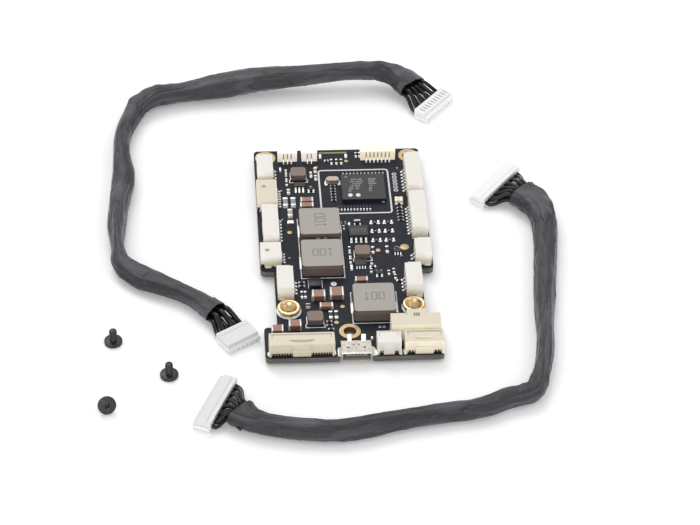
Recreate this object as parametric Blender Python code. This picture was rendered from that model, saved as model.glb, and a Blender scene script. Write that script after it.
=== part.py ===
"""Motor controller board with its loose cables and screws, as separate closed solids.

World frame, metres: the origin is on the table under the board's centre, +X to the board's right,
+Y towards the three small headers at its far edge, +Z up. Everything rests on z = 0.
"""
import bpy
import bmesh
from math import cos, pi, radians, sin
from mathutils import Matrix, Vector

MM = 0.001
GAP = 0.3 * MM                      # air left between touching pieces

# ---- driving dimensions, millimetres ----
BOARD_W, BOARD_L, BOARD_T = 43.0, 79.2, 1.6
NECK_W = 36.4                       # narrowed part between the two wide ends
NECK_Y = (-28.5, -8.2)              # where the narrow part starts and ends
FEET_T = 0.7                        # packages under the board, which it stands on
TOP = FEET_T + GAP / MM + BOARD_T   # height of the board's upper face
SEAT = TOP + GAP / MM               # underside of everything mounted on the board
HOLE_R = 1.6
LAND_R, LAND_T = 2.6, 0.1           # plated land around each screw hole, proud on both faces
CORNER_HOLES = ((-18.6, 36.6), (18.7, 36.6))
CENTRE_HOLE = (-0.8, -30.6)
INSERTS = {"left": (-15.2, -22.6), "right": (15.4, -22.4)}
INSERT_R, INSERT_BORE_R, INSERT_H = 2.85, 1.5, 1.4
COLLAR_R, FLANGE_Z = 2.5, 0.65      # narrower collar under the insert's flange
USB_X, USB_W, USB_D = 0.3, 7.4, 4.7
TALL = dict(depth=4.25, side=4.0, high=4.05)  # 1.25 mm pitch headers: front row, side rows
LOW = dict(depth=4.25, high=2.95)   # 1.0 mm pitch headers
SLEEVE_A_R, SLEEVE_B_R = 3.0, 2.7

# name: (x, y, length, quarter turns so that the mating face looks outward)
TALL_HEADERS = {
    "header_left_1": (-18.95, 29.8, 7.0, -1),
    "header_left_3": (-18.45, 7.35, 12.0, -1),
    "header_left_5": (-15.7, -14.45, 8.25, -1),
    "header_right_1": (19.05, 26.55, 13.25, 1),
    "header_right_2": (19.05, 10.4, 14.4, 1),
    "header_right_3": (19.05, -3.85, 5.75, 1),
    "header_right_4": (15.95, -14.3, 8.25, 1),
    "header_front_1": (-12.8, -37.0, 15.75, 0),
    "header_front_2": (8.1, -37.0, 5.75, 0),
    "header_front_3": (16.6, -37.0, 9.4, 0),
}
ARCHES = {"header_front_1": 3.25, "header_front_3": 2.9}  # half width of the recess in the top
# name: (x, y, length, depth, quarter turns, contacts)
LOW_HEADERS = {
    "header_left_2": (-18.85, 19.9, 9.0, 5.2, -1, 7),
    "header_left_4": (-18.8, -3.2, 6.0, 5.2, -1, 4),
    "header_far_1": (-12.9, 37.15, 5.0, 4.25, 2, 3),
    "header_far_2": (-7.2, 37.15, 4.0, 4.25, 2, 2),
    "header_far_3": (10.6, 37.15, 9.0, 4.25, 2, 7),
}
POWER_INDUCTORS = {"power_inductor_1": (-6.1, 7.0), "power_inductor_2": (-6.2, -5.2),
                   "power_inductor_3": (5.6, -22.1)}
SMALL_INDUCTORS = {"small_inductor_1": (-10.4, 28.9), "small_inductor_2": (4.1, -2.4),
                   "small_inductor_3": (-9.0, -26.5)}
# name: (x, y, length, width, height)
CAPACITORS = {
    "capacitor_1": (-8.7, 18.4, 3.2, 1.6, 1.2), "capacitor_2": (-8.8, 16.2, 3.4, 1.7, 1.3),
    "capacitor_3": (3.2, -12.5, 3.1, 1.6, 1.1), "capacitor_4": (-7.7, -18.2, 3.2, 2.5, 1.7),
    "capacitor_5": (-3.2, -17.5, 3.3, 3.2, 1.6), "capacitor_6": (-6.0, -21.9, 3.2, 1.6, 1.2),
    "capacitor_7": (-14.0, -28.9, 3.0, 2.4, 1.8), "capacitor_8": (-18.3, -30.1, 2.8, 2.3, 1.4),
}
# chips under the board: (x, y, size x, size y)
FEET = {
    "driver_chip_centre": (0.0, 0.0, 9.7, 6.4), "driver_chip_left": (-9.5, 24.0, 9.7, 6.4),
    "driver_chip_right": (9.5, 24.0, 9.7, 6.4), "power_switch_left": (-11.0, -33.5, 6.1, 5.1),
    "power_switch_right": (11.0, -33.5, 6.1, 5.1),
}
# name: (x, y, turn of the row in degrees, length, depth, height, contacts)
PLUGS = {
    "plug_a1": (27.5, 59.1, 49.7, 12.6, 4.0, 3.0, 10),
    "plug_a2": (-27.8, -30.3, 33.0, 8.75, 6.0, 2.6, 6),
    "plug_b1": (40.2, 25.2, 230.8, 17.0, 4.4, 3.0, 13),
    "plug_b2": (-33.94, -53.13, 246.3, 17.0, 4.4, 3.0, 13),
}
WINDOWED = ("plug_a1",)             # the plug with one window per contact in its top
# the way each sleeve runs over the table; both ends meet a plug
ROUTE_A = ((25.7, 60.6, 3.0), (23.6, 62.4, 3.2), (19.2, 67.2, 4.4), (14.0, 69.8, 5.5), (7.0, 70.3, 6.0),
           (0.0, 69.7, 5.6), (-10.0, 69.0, 5.1), (-20.0, 68.2, 4.6), (-30.0, 66.8, 3.9), (-40.0, 65.0, 3.3),
           (-46.5, 63.2, 3.1), (-51.0, 59.6, 3.0), (-53.2, 54.5, 3.0), (-55.0, 47.0, 3.0),
           (-55.8, 39.0, 3.0), (-55.5, 30.0, 3.0), (-56.4, 20.0, 3.0), (-57.0, 10.0, 3.0),
           (-56.8, 2.0, 3.0), (-55.6, -4.2, 3.0), (-51.0, -9.2, 3.0), (-46.0, -12.6, 3.0),
           (-41.0, -15.6, 3.0), (-36.4, -19.2, 3.0), (-31.2, -25.0, 3.0), (-29.6, -27.5, 3.0))
ROUTE_B = ((42.2, 23.6, 2.8), (44.4, 21.8, 2.8), (49.2, 16.6, 2.8), (51.0, 10.5, 2.8), (50.9, 4.0, 2.8),
           (49.8, -5.0, 2.8), (48.6, -14.0, 2.8), (47.4, -23.0, 2.8), (46.6, -31.0, 2.8),
           (45.6, -39.5, 2.8), (44.2, -47.0, 2.8), (41.0, -53.2, 2.8), (35.0, -56.0, 2.8),
           (28.0, -58.6, 2.8), (20.0, -60.0, 2.8), (10.0, -61.5, 2.8), (2.0, -63.8, 2.8),
           (-6.0, -65.0, 2.8), (-14.0, -64.0, 2.8), (-21.0, -61.8, 2.8), (-25.6, -58.6, 2.8),
           (-29.4, -55.6, 2.8), (-31.8, -54.5, 2.8))
# screws: head centre on the table, and whether it stands on its head
SCREW_HEAD_R, SCREW_HEAD_H, SCREW_R, SCREW_L = 2.2, 0.9, 0.95, 3.2
SCREWS_UP = {"screw_1": (-57.9, -29.6), "screw_2": (-44.6, -41.8)}
SCREW_LYING = (-59.2, -53.9, 13.8, 23.53)  # head centre, turn and fall of the axis

COLORS = {                          # name: (base colour, metallic, roughness)
    "board": ((0.012, 0.014, 0.019), 0.0, 0.42), "chip": ((0.02, 0.02, 0.022), 0.0, 0.55),
    "header_white": ((0.86, 0.85, 0.82), 0.0, 0.45), "header_cream": ((0.80, 0.74, 0.60), 0.0, 0.45),
    "inductor": ((0.36, 0.31, 0.29), 0.0, 0.6), "capacitor": ((0.42, 0.24, 0.17), 0.0, 0.5),
    "brass": ((0.80, 0.58, 0.25), 1.0, 0.28), "steel": ((0.62, 0.60, 0.57), 1.0, 0.4),
    "screw": ((0.035, 0.037, 0.04), 0.6, 0.4), "sleeve": ((0.03, 0.031, 0.035), 0.0, 0.5),
    "crystal": ((0.60, 0.50, 0.45), 0.6, 0.4), "led": ((0.85, 0.80, 0.66), 0.0, 0.35),
    "tongue": ((0.02, 0.02, 0.025), 0.0, 0.5),
}


def clear_scene():
    for obj in list(bpy.data.objects):
        bpy.data.objects.remove(obj)


def material(node, look):
    """A Principled material of the node's own."""
    mat = bpy.data.materials.new(node)
    mat.use_nodes = True
    color, metallic, rough = COLORS[look]
    shader = mat.node_tree.nodes["Principled BSDF"]
    shader.inputs["Base Color"].default_value = (*color, 1.0)
    shader.inputs["Metallic"].default_value = metallic
    shader.inputs["Roughness"].default_value = rough
    mat.diffuse_color = (*color, 1.0)
    return mat


def add(name, bm, look=None, at=(0, 0, 0), turn=0.0, matrix=None):
    """Make an object from millimetre geometry; a piece without a look is a cutter."""
    bmesh.ops.scale(bm, vec=(MM, MM, MM), verts=bm.verts)
    bmesh.ops.recalc_face_normals(bm, faces=bm.faces)
    mesh = bpy.data.meshes.new(name)
    bm.to_mesh(mesh)
    bm.free()
    obj = bpy.data.objects.new(name, mesh)
    bpy.context.scene.collection.objects.link(obj)
    place = Matrix.Translation(Vector(at) * MM) @ Matrix.Rotation(radians(turn), 4, "Z")
    obj.matrix_world = place @ matrix if matrix else place
    if look:
        mesh.materials.append(material(name, look))
    else:
        obj.hide_render = True
        obj.display_type = "WIRE"
    return obj


def box(bm, low, high):
    """Add a box between two corners."""
    verts = bmesh.ops.create_cube(bm, size=1.0)["verts"]
    low, high = Vector(low), Vector(high)
    bmesh.ops.scale(bm, vec=high - low, verts=verts)
    bmesh.ops.translate(bm, vec=(low + high) / 2, verts=verts)
    return verts


def prism(bm, outline, z0, z1):
    """Add an upright prism over a closed outline."""
    bottom = [bm.verts.new((x, y, z0)) for x, y in outline]
    face = bm.faces.new(bottom)
    top = bmesh.ops.extrude_face_region(bm, geom=[face])["geom"]
    verts = [g for g in top if isinstance(g, bmesh.types.BMVert)]
    bmesh.ops.translate(bm, vec=(0, 0, z1 - z0), verts=verts)


def circle(x, y, r, n=32):
    return [(x + r * cos(2 * pi * i / n), y + r * sin(2 * pi * i / n)) for i in range(n)]


def rounded(corners, steps=4):
    """An outline whose corners, given as (x, y, radius), are rounded."""
    out = []
    for i, (x, y, r) in enumerate(corners):
        here = Vector((x, y))
        before = (Vector(corners[i - 1][:2]) - here).normalized()
        after = (Vector(corners[(i + 1) % len(corners)][:2]) - here).normalized()
        if r == 0:
            out.append((x, y))
            continue
        for k in range(steps + 1):
            a = k / steps * pi / 2
            p = here + before * r * (1 - sin(a)) + after * r * (1 - cos(a))
            out.append((p.x, p.y))
    return out


def cut(target, tools, operation="DIFFERENCE"):
    """Apply each hidden tool to the target with an exact Boolean."""
    for tool in tools:
        mod = target.modifiers.new(tool.name, "BOOLEAN")
        mod.operation, mod.solver, mod.object = operation, "EXACT", tool


def bevel(target, width, segments=1, angle=40):
    mod = target.modifiers.new("edges", "BEVEL")
    mod.width, mod.segments = width * MM, segments
    mod.limit_method, mod.angle_limit = "ANGLE", radians(angle)


def lathe(bm, profile, n=32, inner=False):
    """Turn a profile of (radius, height) about Z; the last ring joins the first on a tube."""
    rings = [[bm.verts.new((r * cos(2 * pi * i / n), r * sin(2 * pi * i / n), z)) for i in range(n)]
             for r, z in profile]
    pairs = list(zip(rings, rings[1:] + ([rings[0]] if inner else [])))
    for a, b in pairs if inner else pairs[:len(rings) - 1]:
        for i in range(n):
            bm.faces.new((a[i], a[(i + 1) % n], b[(i + 1) % n], b[i]))
    if not inner:
        bm.faces.new(rings[0])
        bm.faces.new(rings[-1])


def make_board():
    """The printed board: waisted outline, socket notch, screw holes in raised lands, insert holes."""
    w, l, n = BOARD_W / 2, BOARD_L / 2, NECK_W / 2
    u0, u1 = USB_X - USB_W / 2 - 0.25, USB_X + USB_W / 2 + 0.25
    depth = -l + USB_D
    outline = rounded((
        (w, l, 1.0), (-w, l, 1.0), (-w, NECK_Y[1], 1.2), (-n, NECK_Y[1], 0.0), (-n, NECK_Y[0], 0.0),
        (-w, NECK_Y[0], 1.0), (-w, -l, 1.0), (u0, -l, 0.3), (u0, depth, 0.0), (u1, depth, 0.0),
        (u1, -l, 0.3), (w, -l, 1.0), (w, NECK_Y[0], 1.0), (n, NECK_Y[0], 0.0), (n, NECK_Y[1], 0.0),
        (w, NECK_Y[1], 1.2)))
    bm = bmesh.new()
    prism(bm, outline, TOP - BOARD_T, TOP)
    board = add("circuit_board", bm, "board")
    lands = bmesh.new()
    for x, y in CORNER_HOLES + (CENTRE_HOLE,):
        prism(lands, circle(x, y, LAND_R), TOP - BOARD_T - LAND_T, TOP + LAND_T)
    cut(board, [add("join_board_lands", lands)], "UNION")
    holes = bmesh.new()
    for x, y in CORNER_HOLES + (CENTRE_HOLE,) + tuple(INSERTS.values()):
        prism(holes, circle(x, y, HOLE_R), TOP - BOARD_T - 1, TOP + 1)
    cut(board, [add("cut_board_holes", holes)])


def make_tall_header(name, x, y, length, quarter, look):
    """Side-entry header: latch block in the middle of the front, a low slot on both sides of it.

    The two long ones of the front row also have a shallow arched recess in the top."""
    half, d, h = length / 2, TALL["side" if quarter else "depth"] / 2, TALL["high"]
    block = min(2.15, half - 1.6)
    bm = bmesh.new()
    box(bm, (-half, -d, 0), (half, d, h))
    header = add(name, bm, look, (x, y, SEAT), quarter * 90)
    sides, slots = bmesh.new(), bmesh.new()
    for s in (-1, 1):
        inner, outer = s * block, s * (half - 0.55)
        lo, hi = min(inner, outer), max(inner, outer)
        box(sides, (lo, -d - 1, 0.6), (hi, -d + 0.45, h - 0.5))
        box(slots, (lo + 0.01, -d - 1.1, -1), (hi - 0.01, -d + 2.6, 0.75))
    step = bmesh.new()
    box(step, (-half - 1, d - 0.75, h - 0.2), (half + 1, d + 1, h + 1))
    place = dict(at=(x, y, SEAT), turn=quarter * 90)
    tools = [add("cut_sides_" + name, sides, **place), add("cut_slots_" + name, slots, **place),
             add("cut_step_" + name, step, **place)]
    if name in ARCHES:
        arch = bmesh.new()
        chord, sag = ARCHES[name], 1.15
        arc_r = chord * chord / (2 * sag) + sag / 2
        span = [(-1 + 2 * i / 12) for i in range(13)]
        back = -d + 1.65
        arc = [(chord * t, back - (arc_r * arc_r - (chord * t) ** 2) ** 0.5 + arc_r - sag) for t in span]
        prism(arch, arc, h - 0.45, h + 1)
        tools.append(add("cut_arch_" + name, arch, **place))
    cut(header, tools)


def make_low_header(name, x, y, length, depth, quarter, contacts, look):
    """Small side-entry header: open mouth in front, one groove per contact at the back."""
    half, d, h = length / 2, depth / 2, LOW["high"]
    bm = bmesh.new()
    box(bm, (-half, -d, 0), (half, d, h))
    header = add(name, bm, look, (x, y, SEAT), quarter * 90)
    mouth = bmesh.new()
    box(mouth, (-half + 0.55, -d - 1, 0.5), (half - 0.55, -d + 2.6, h - 0.5))
    for i in range(contacts):
        cx = i - (contacts - 1) / 2
        box(mouth, (cx - 0.2, d - 0.25, -1), (cx + 0.2, d + 1, h - 0.35))
    cut(header, [add("cut_mouth_" + name, mouth, at=(x, y, SEAT), turn=quarter * 90)])


def make_rear_header():
    """Upright header behind the front row, with a latch tab on its far side."""
    x, y, half, d, h = 14.9, -32.2, 6.0, 2.1, 5.1
    outline = [(-half, -d), (half, -d), (half, d), (3.1, d), (3.1, d - 0.5), (2.8, d - 0.5), (2.8, d + 1.4),
               (-2.0, d + 1.4), (-2.0, d - 0.5), (-2.3, d - 0.5), (-2.3, d), (-half, d)]
    bm = bmesh.new()
    prism(bm, outline, 0, h)
    header = add("header_rear", bm, "header_cream", (x, y, SEAT))
    marks = bmesh.new()
    for row in (0.35, 1.0):
        for i in range(3):
            left = -0.45 + 0.55 * i
            box(marks, (left, d - row, h - 0.4), (left + 0.4, d - row + 0.3, h + 1))
    cut(header, [add("cut_marks_rear", marks, at=(x, y, SEAT))])


def make_usb():
    """Socket sunk into the notch: hollow metal shell with side wings, and the tongue inside."""
    back, front = -BOARD_L / 2 + USB_D - 0.3, -BOARD_L / 2 - 0.1
    w, low, high = USB_W / 2 - 0.05, TOP - 1.2, TOP + 1.25
    bm = bmesh.new()
    box(bm, (USB_X - w, front, low), (USB_X + w, back, high))
    shell = add("usb_shell", bm, "steel")
    wings = bmesh.new()
    for s in (-1, 1):
        a, b = USB_X + s * (w - 0.2), USB_X + s * (w + 0.6)
        box(wings, (min(a, b), front + 0.35, SEAT), (max(a, b), front + 2.9, SEAT + 0.35))
    tabs = bmesh.new()
    for left, right in ((-1.75, -0.75), (1.6, 2.7)):
        for v in box(tabs, (left, back - 0.45, high - 0.2), (right, back - 0.15, high + 1.5)):
            if v.co.z > high:
                v.co.y += 1.15
                v.co.z -= 0.35
    mouth = bmesh.new()
    box(mouth, (USB_X - w + 0.3, front - 1, low + 0.3), (USB_X + w - 0.3, back - 0.4, high - 0.3))
    cut(shell, [add("join_usb_wings", wings), add("join_usb_tabs", tabs)], "UNION")
    cut(shell, [add("cut_usb_mouth", mouth)])
    bm = bmesh.new()
    box(bm, (USB_X - 2.7, front + 0.6, low + 1.0), (USB_X + 2.7, back - 0.4 - GAP / MM, low + 1.6))
    add("usb_tongue", bm, "tongue")


def make_inductor(name, x, y, size, depth, height, corner, look="inductor"):
    """Moulded inductor block with round upright edges."""
    s, d = size / 2, depth / 2
    bm = bmesh.new()
    corners = ((s, d), (-s, d), (-s, -d), (s, -d))
    prism(bm, rounded([(px, py, corner) for px, py in corners], 3), 0, height)
    block = add(name, bm, look, (x, y, SEAT))
    bevel(block, 0.2, 2, 60)


def make_block(name, x, y, sx, sy, height, look, edge=0.06, z=None):
    """A plain package with broken edges."""
    bm = bmesh.new()
    box(bm, (-sx / 2, -sy / 2, 0), (sx / 2, sy / 2, height))
    bevel(add(name, bm, look, (x, y, SEAT if z is None else z)), edge)


def make_insert(side, x, y):
    """Brass nut soldered to the board: flange, collar and a through bore."""
    r, b, h = INSERT_R, INSERT_BORE_R, INSERT_H
    bm = bmesh.new()
    lathe(bm, ((b, 0), (COLLAR_R, 0), (COLLAR_R, FLANGE_Z - 0.1), (r, FLANGE_Z), (r, h - 0.15),
               (r - 0.15, h), (b + 0.5, h), (b, h - 0.5)), 40, inner=True)
    add("brass_insert_" + side, bm, "brass", (x, y, SEAT))


def make_crystal():
    """Resonator can: rounded lid on a wider foot."""
    bm = bmesh.new()
    prism(bm, rounded([(x, y, 0.3) for x, y in ((1.8, 1), (-1.8, 1), (-1.8, -1), (1.8, -1))], 3), 0, 0.4)
    foot = add("resonator", bm, "crystal", (-1.7, 26.3, SEAT))
    lid = bmesh.new()
    corners = ((1.6, 0.85), (-1.6, 0.85), (-1.6, -0.85), (1.6, -0.85))
    prism(lid, rounded([(x, y, 0.8) for x, y in corners], 5), 0.2, 1.3)
    cut(foot, [add("join_resonator_lid", lid, at=(-1.7, 26.3, SEAT))], "UNION")


def make_plug(name, x, y, turn, length, depth, height, contacts):
    """Cable plug lying on the table: lower nose in front, and a seam or windows on top."""
    half, d = length / 2, depth / 2
    bm = bmesh.new()
    box(bm, (-half, -d, 0), (half, d, height))
    plug = add(name, bm, "header_white", (x, y, 0), turn)
    tool = bmesh.new()
    box(tool, (-half - 1, -d - 1, height - 0.8), (half + 1, -d + 0.9, height + 1))
    tops = bmesh.new()
    if name in WINDOWED:
        pitch = (length - 2.4) / (contacts - 1)
        for i in range(contacts):
            cx = -half + 1.2 + i * pitch
            box(tops, (cx - 0.25, -d + 1.3, height - 0.45), (cx + 0.25, d - 0.9, height + 1))
    else:
        box(tops, (-half - 1, d - 1.35, height - 0.12), (half + 1, d - 1.15, height + 1))
    cut(plug, [add("cut_nose_" + name, tool, at=(x, y, 0), turn=turn),
               add("cut_top_" + name, tops, at=(x, y, 0), turn=turn)])


def smooth_route(points, spacing, lead=1.6):
    """Even points on a Catmull-Rom curve through the route, with a straight lead at each end."""
    pts = [Vector(p) for p in points]
    pts = [2 * pts[0] - pts[1]] + pts + [2 * pts[-1] - pts[-2]]
    dense = []
    for a, b, c, d in zip(pts, pts[1:], pts[2:], pts[3:]):
        for k in range(24):
            t = k / 24
            dense.append(0.5 * (2 * b + (c - a) * t + (2 * a - 5 * b + 4 * c - d) * t * t
                                + (3 * b - a - 3 * c + d) * t ** 3))
    dense.append(pts[-2])
    total = sum((q - p).length for p, q in zip(dense, dense[1:]))
    count = round(total / spacing)
    out, run, k = [dense[0]], 0.0, 1
    for p, q in zip(dense, dense[1:]):
        step = (q - p).length
        while k < count and run + step >= total * k / count:
            out.append(p.lerp(q, (total * k / count - run) / step))
            k += 1
        run += step
    near, far = (dense[1] - dense[0]).normalized(), (dense[-2] - dense[-1]).normalized()
    return [out[0], out[0] + near * lead] + out[1:] + [dense[-1] + far * lead, dense[-1]]


def make_sleeve(name, route, radius, spacing):
    """The covered bundle of wires, as one tube from plug to plug."""
    curve = bpy.data.curves.new(name, "CURVE")
    curve.dimensions = "3D"
    curve.bevel_depth = radius * MM
    curve.bevel_resolution = 3
    curve.use_fill_caps = True
    points = smooth_route(route, spacing)
    spline = curve.splines.new("POLY")
    spline.points.add(len(points) - 1)
    for point, co in zip(spline.points, points):
        point.co = (*(co * MM), 1.0)
    sleeve = bpy.data.objects.new(name, curve)
    bpy.context.scene.collection.objects.link(sleeve)
    curve.materials.append(material(name, "sleeve"))


def make_screw(name, matrix):
    """Flat-headed screw along +Z with its head at the bottom, thread rings and a cross recess."""
    profile = [(SCREW_HEAD_R - 0.15, 0), (SCREW_HEAD_R, 0.15), (SCREW_HEAD_R, SCREW_HEAD_H - 0.1),
               (SCREW_HEAD_R - 0.1, SCREW_HEAD_H), (SCREW_R - 0.12, SCREW_HEAD_H)]
    z = SCREW_HEAD_H + 0.3
    while z < SCREW_HEAD_H + SCREW_L - 0.6:
        profile += [(SCREW_R - 0.14, z), (SCREW_R, z + 0.15), (SCREW_R - 0.14, z + 0.3)]
        z += 0.4
    profile += [(SCREW_R - 0.1, SCREW_HEAD_H + SCREW_L - 0.2), (SCREW_R - 0.35, SCREW_HEAD_H + SCREW_L)]
    bm = bmesh.new()
    lathe(bm, profile, 24)
    screw = add(name, bm, "screw", matrix=matrix)
    for k, turn in enumerate((45, 135)):
        arm = bmesh.new()
        verts = box(arm, (-0.95, -0.17 - 0.01 * k, -1), (0.95, 0.17 + 0.01 * k, 0.5 - 0.02 * k))
        bmesh.ops.rotate(arm, cent=(0, 0, 0), matrix=Matrix.Rotation(radians(turn), 3, "Z"), verts=verts)
        cut(screw, [add("cut_cross_%d_%s" % (k, name), arm, matrix=matrix)])


def make_screws():
    for name, (x, y) in SCREWS_UP.items():
        make_screw(name, Matrix.Translation((x * MM, y * MM, 0)))
    x, y, turn, fall = SCREW_LYING          # its head's rim and its tip touch the table
    height = SCREW_HEAD_R * cos(radians(fall)) + (SCREW_HEAD_H - 0.1) * sin(radians(fall))
    lean = Matrix.Rotation(radians(turn), 4, "Z") @ Matrix.Rotation(-radians(90 + fall), 4, "X")
    make_screw("screw_3", Matrix.Translation((x * MM, y * MM, height * MM)) @ lean)


def build():
    clear_scene()
    make_board()
    creamy = ("header_left_2", "header_far_3", "header_front_1", "header_front_3")
    for name, spec in TALL_HEADERS.items():
        make_tall_header(name, *spec, look="header_cream" if name in creamy else "header_white")
    for name, spec in LOW_HEADERS.items():
        make_low_header(name, *spec, look="header_cream" if name in creamy else "header_white")
    make_rear_header()
    make_usb()
    for name, (x, y) in POWER_INDUCTORS.items():
        make_inductor(name, x, y, 10.2, 10.2, 3.5, 0.8)
    for name, (x, y) in SMALL_INDUCTORS.items():
        make_inductor(name, x, y, 4.0, 3.6, 1.8, 0.8)
    for name, (x, y, length, width, height) in CAPACITORS.items():
        make_block(name, x, y, length, width, height, "capacitor", 0.1)
    make_block("processor", 6.0, 23.0, 11.2, 10.2, 1.2, "chip")
    make_block("bus_transceiver", 3.6, 5.45, 4.9, 3.9, 1.45, "chip", 0.1)
    make_block("gate_chip", -10.3, 24.7, 2.9, 1.6, 1.0, "chip", 0.08)
    make_block("status_led", 14.8, 18.1, 2.1, 1.7, 0.9, "led", 0.1)
    make_crystal()
    for side, (x, y) in INSERTS.items():
        make_insert(side, x, y)
    for name, (x, y, sx, sy) in FEET.items():
        make_block(name, x, y, sx, sy, FEET_T, "chip", 0.08, z=0)
    for name, spec in PLUGS.items():
        make_plug(name, *spec)
    make_sleeve("cable_sleeve_a", ROUTE_A, SLEEVE_A_R, 6.0)
    make_sleeve("cable_sleeve_b", ROUTE_B, SLEEVE_B_R, 6.0)
    make_screws()


build()
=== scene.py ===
import bpy
import bmesh
from math import cos, pi, radians, sin
from mathutils import Euler, Matrix, Vector, noise


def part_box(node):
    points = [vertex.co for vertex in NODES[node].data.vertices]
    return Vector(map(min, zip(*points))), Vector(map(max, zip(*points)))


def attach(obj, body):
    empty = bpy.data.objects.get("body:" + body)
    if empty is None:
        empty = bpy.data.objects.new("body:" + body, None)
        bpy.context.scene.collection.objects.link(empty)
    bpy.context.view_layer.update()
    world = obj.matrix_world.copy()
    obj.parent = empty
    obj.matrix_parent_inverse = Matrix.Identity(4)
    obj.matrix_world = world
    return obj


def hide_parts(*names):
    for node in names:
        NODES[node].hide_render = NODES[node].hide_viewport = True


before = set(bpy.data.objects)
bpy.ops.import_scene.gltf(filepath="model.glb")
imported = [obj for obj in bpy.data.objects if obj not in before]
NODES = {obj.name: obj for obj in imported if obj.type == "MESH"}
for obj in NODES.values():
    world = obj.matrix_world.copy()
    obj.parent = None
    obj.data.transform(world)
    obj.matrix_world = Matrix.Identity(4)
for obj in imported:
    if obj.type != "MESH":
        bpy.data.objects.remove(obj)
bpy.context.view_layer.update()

MM = 0.001
TOP = 2.6                     # upper face of the board
DROP = 0.28                   # how far soldered parts are let down onto the board
EDGE = 39.6                   # half the board's length
GIRTH = 0.019                 # way round a sleeve, metres


# ------------------------------------------------------------------ materials

class Look:
    """A node material built step by step around one Principled shader."""

    def __init__(self, name, color=(0.8, 0.8, 0.8), rough=0.5, metal=0.0, **inputs):
        self.mat = bpy.data.materials.new(name)
        self.mat.use_nodes = True
        self.nodes = self.mat.node_tree.nodes
        self.shader = self.nodes["Principled BSDF"]
        self.set("Base Color", (*color, 1.0))
        self.set("Roughness", rough)
        self.set("Metallic", metal)
        for key, value in inputs.items():
            self.set(key.replace("_", " "), value)
        self.mat.diffuse_color = (*color, 1.0)
        self.coords = self.nodes.new("ShaderNodeTexCoord")

    def set(self, name, value):
        self.shader.inputs[name].default_value = value

    def link(self, a, b):
        self.mat.node_tree.links.new(a, b)

    def mapping(self, source="Object", scale=(1, 1, 1), turn=(0, 0, 0)):
        node = self.node("Mapping", Scale=scale, Rotation=turn)
        self.link(self.coords.outputs[source], node.inputs["Vector"])
        return node.outputs["Vector"]

    def node(self, kind, **inputs):
        """New node; the keywords set its inputs."""
        node = self.nodes.new("ShaderNode" + kind)
        for key, value in inputs.items():
            node.inputs[key.replace("_", " ")].default_value = value
        return node

    def noise(self, scale, detail=3.0, stretch=(1, 1, 1), rough=0.55, distortion=0.0, vector=None):
        node = self.node("TexNoise", Scale=scale, Detail=detail, Roughness=rough, Distortion=distortion)
        self.link(vector or self.mapping(scale=stretch), node.inputs["Vector"])
        return node.outputs["Fac"]

    def ramp(self, source, *stops):
        node = self.node("ValToRGB")
        ramp = node.color_ramp
        while len(ramp.elements) < len(stops):
            ramp.elements.new(0.5)
        for element, (at, color) in zip(ramp.elements, stops):
            element.position, element.color = at, (*color, 1.0)
        self.link(source, node.inputs["Fac"])
        return node.outputs["Color"]

    def mix(self, factor, a, b):
        node = self.node("Mix")
        node.data_type = "RGBA"
        for socket, value in ((node.inputs["Factor"], factor), (node.inputs["A"], a), (node.inputs["B"], b)):
            if hasattr(value, "is_output"):
                self.link(value, socket)
            elif isinstance(value, (int, float)):
                socket.default_value = value
            else:
                socket.default_value = (*value, 1.0)
        return node.outputs["Result"]

    def math(self, kind, a, b=0.0):
        node = self.node("Math")
        node.operation = kind
        for socket, value in zip(node.inputs, (a, b)):
            if hasattr(value, "is_output"):
                self.link(value, socket)
            else:
                socket.default_value = value
        return node.outputs["Value"]

    def color(self, source):
        self.link(source, self.shader.inputs["Base Color"])

    def rough(self, source, low, high):
        node = self.node("MapRange", To_Min=low, To_Max=high)
        self.link(source, node.inputs["Value"])
        self.link(node.outputs["Result"], self.shader.inputs["Roughness"])

    def bump(self, source, strength, distance, normal=None):
        node = self.node("Bump", Strength=strength, Distance=distance)
        self.link(source, node.inputs["Height"])
        if normal is not None:
            self.link(normal, node.inputs["Normal"])
        self.link(node.outputs["Normal"], self.shader.inputs["Normal"])
        return node.outputs["Normal"]

    def height(self, low, high):
        """0 below low, 1 above high, smooth between; metres over the table."""
        split, node = self.node("SeparateXYZ"), self.node("MapRange", From_Min=low, From_Max=high)
        node.interpolation_type = "SMOOTHSTEP"
        self.link(self.coords.outputs["Object"], split.inputs["Vector"])
        self.link(split.outputs["Z"], node.inputs["Value"])
        return node.outputs["Result"]

    def round_tube(self, girth, along):
        """Coordinates that run round a tube without a seam; along is how fast they run down it."""
        split, join = self.node("SeparateXYZ"), self.node("CombineXYZ")
        self.link(self.coords.outputs["UV"], split.inputs["Vector"])
        angle = self.math("MULTIPLY", split.outputs["X"], 2 * pi / girth)
        for socket, value in zip(join.inputs, (self.math("COSINE", angle), self.math("SINE", angle),
                                               self.math("MULTIPLY", split.outputs["Y"], along))):
            self.link(value, socket)
        return join.outputs["Vector"]


def mask_look():
    """Satin near-black solder mask with buried copper showing as faint lighter runs."""
    look = Look("solder_mask", (0.016, 0.018, 0.024), 0.45, Specular_IOR_Level=0.12)
    fine = look.noise(900, 4)
    pours = look.noise(160, 2, distortion=1.2)
    copper = look.ramp(pours, (0.44, (0.0, 0.0, 0.0)), (0.50, (1, 1, 1)), (0.60, (0.2, 0.2, 0.2)))
    base = look.mix(fine, (0.013, 0.015, 0.020), (0.024, 0.026, 0.034))
    look.color(look.mix(look.math("MULTIPLY", copper, 0.35), base, (0.030, 0.035, 0.048)))
    look.rough(fine, 0.38, 0.55)
    look.bump(look.math("ADD", copper, look.math("MULTIPLY", fine, 0.3)), 0.25, 0.00002)
    return look.mat


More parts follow.
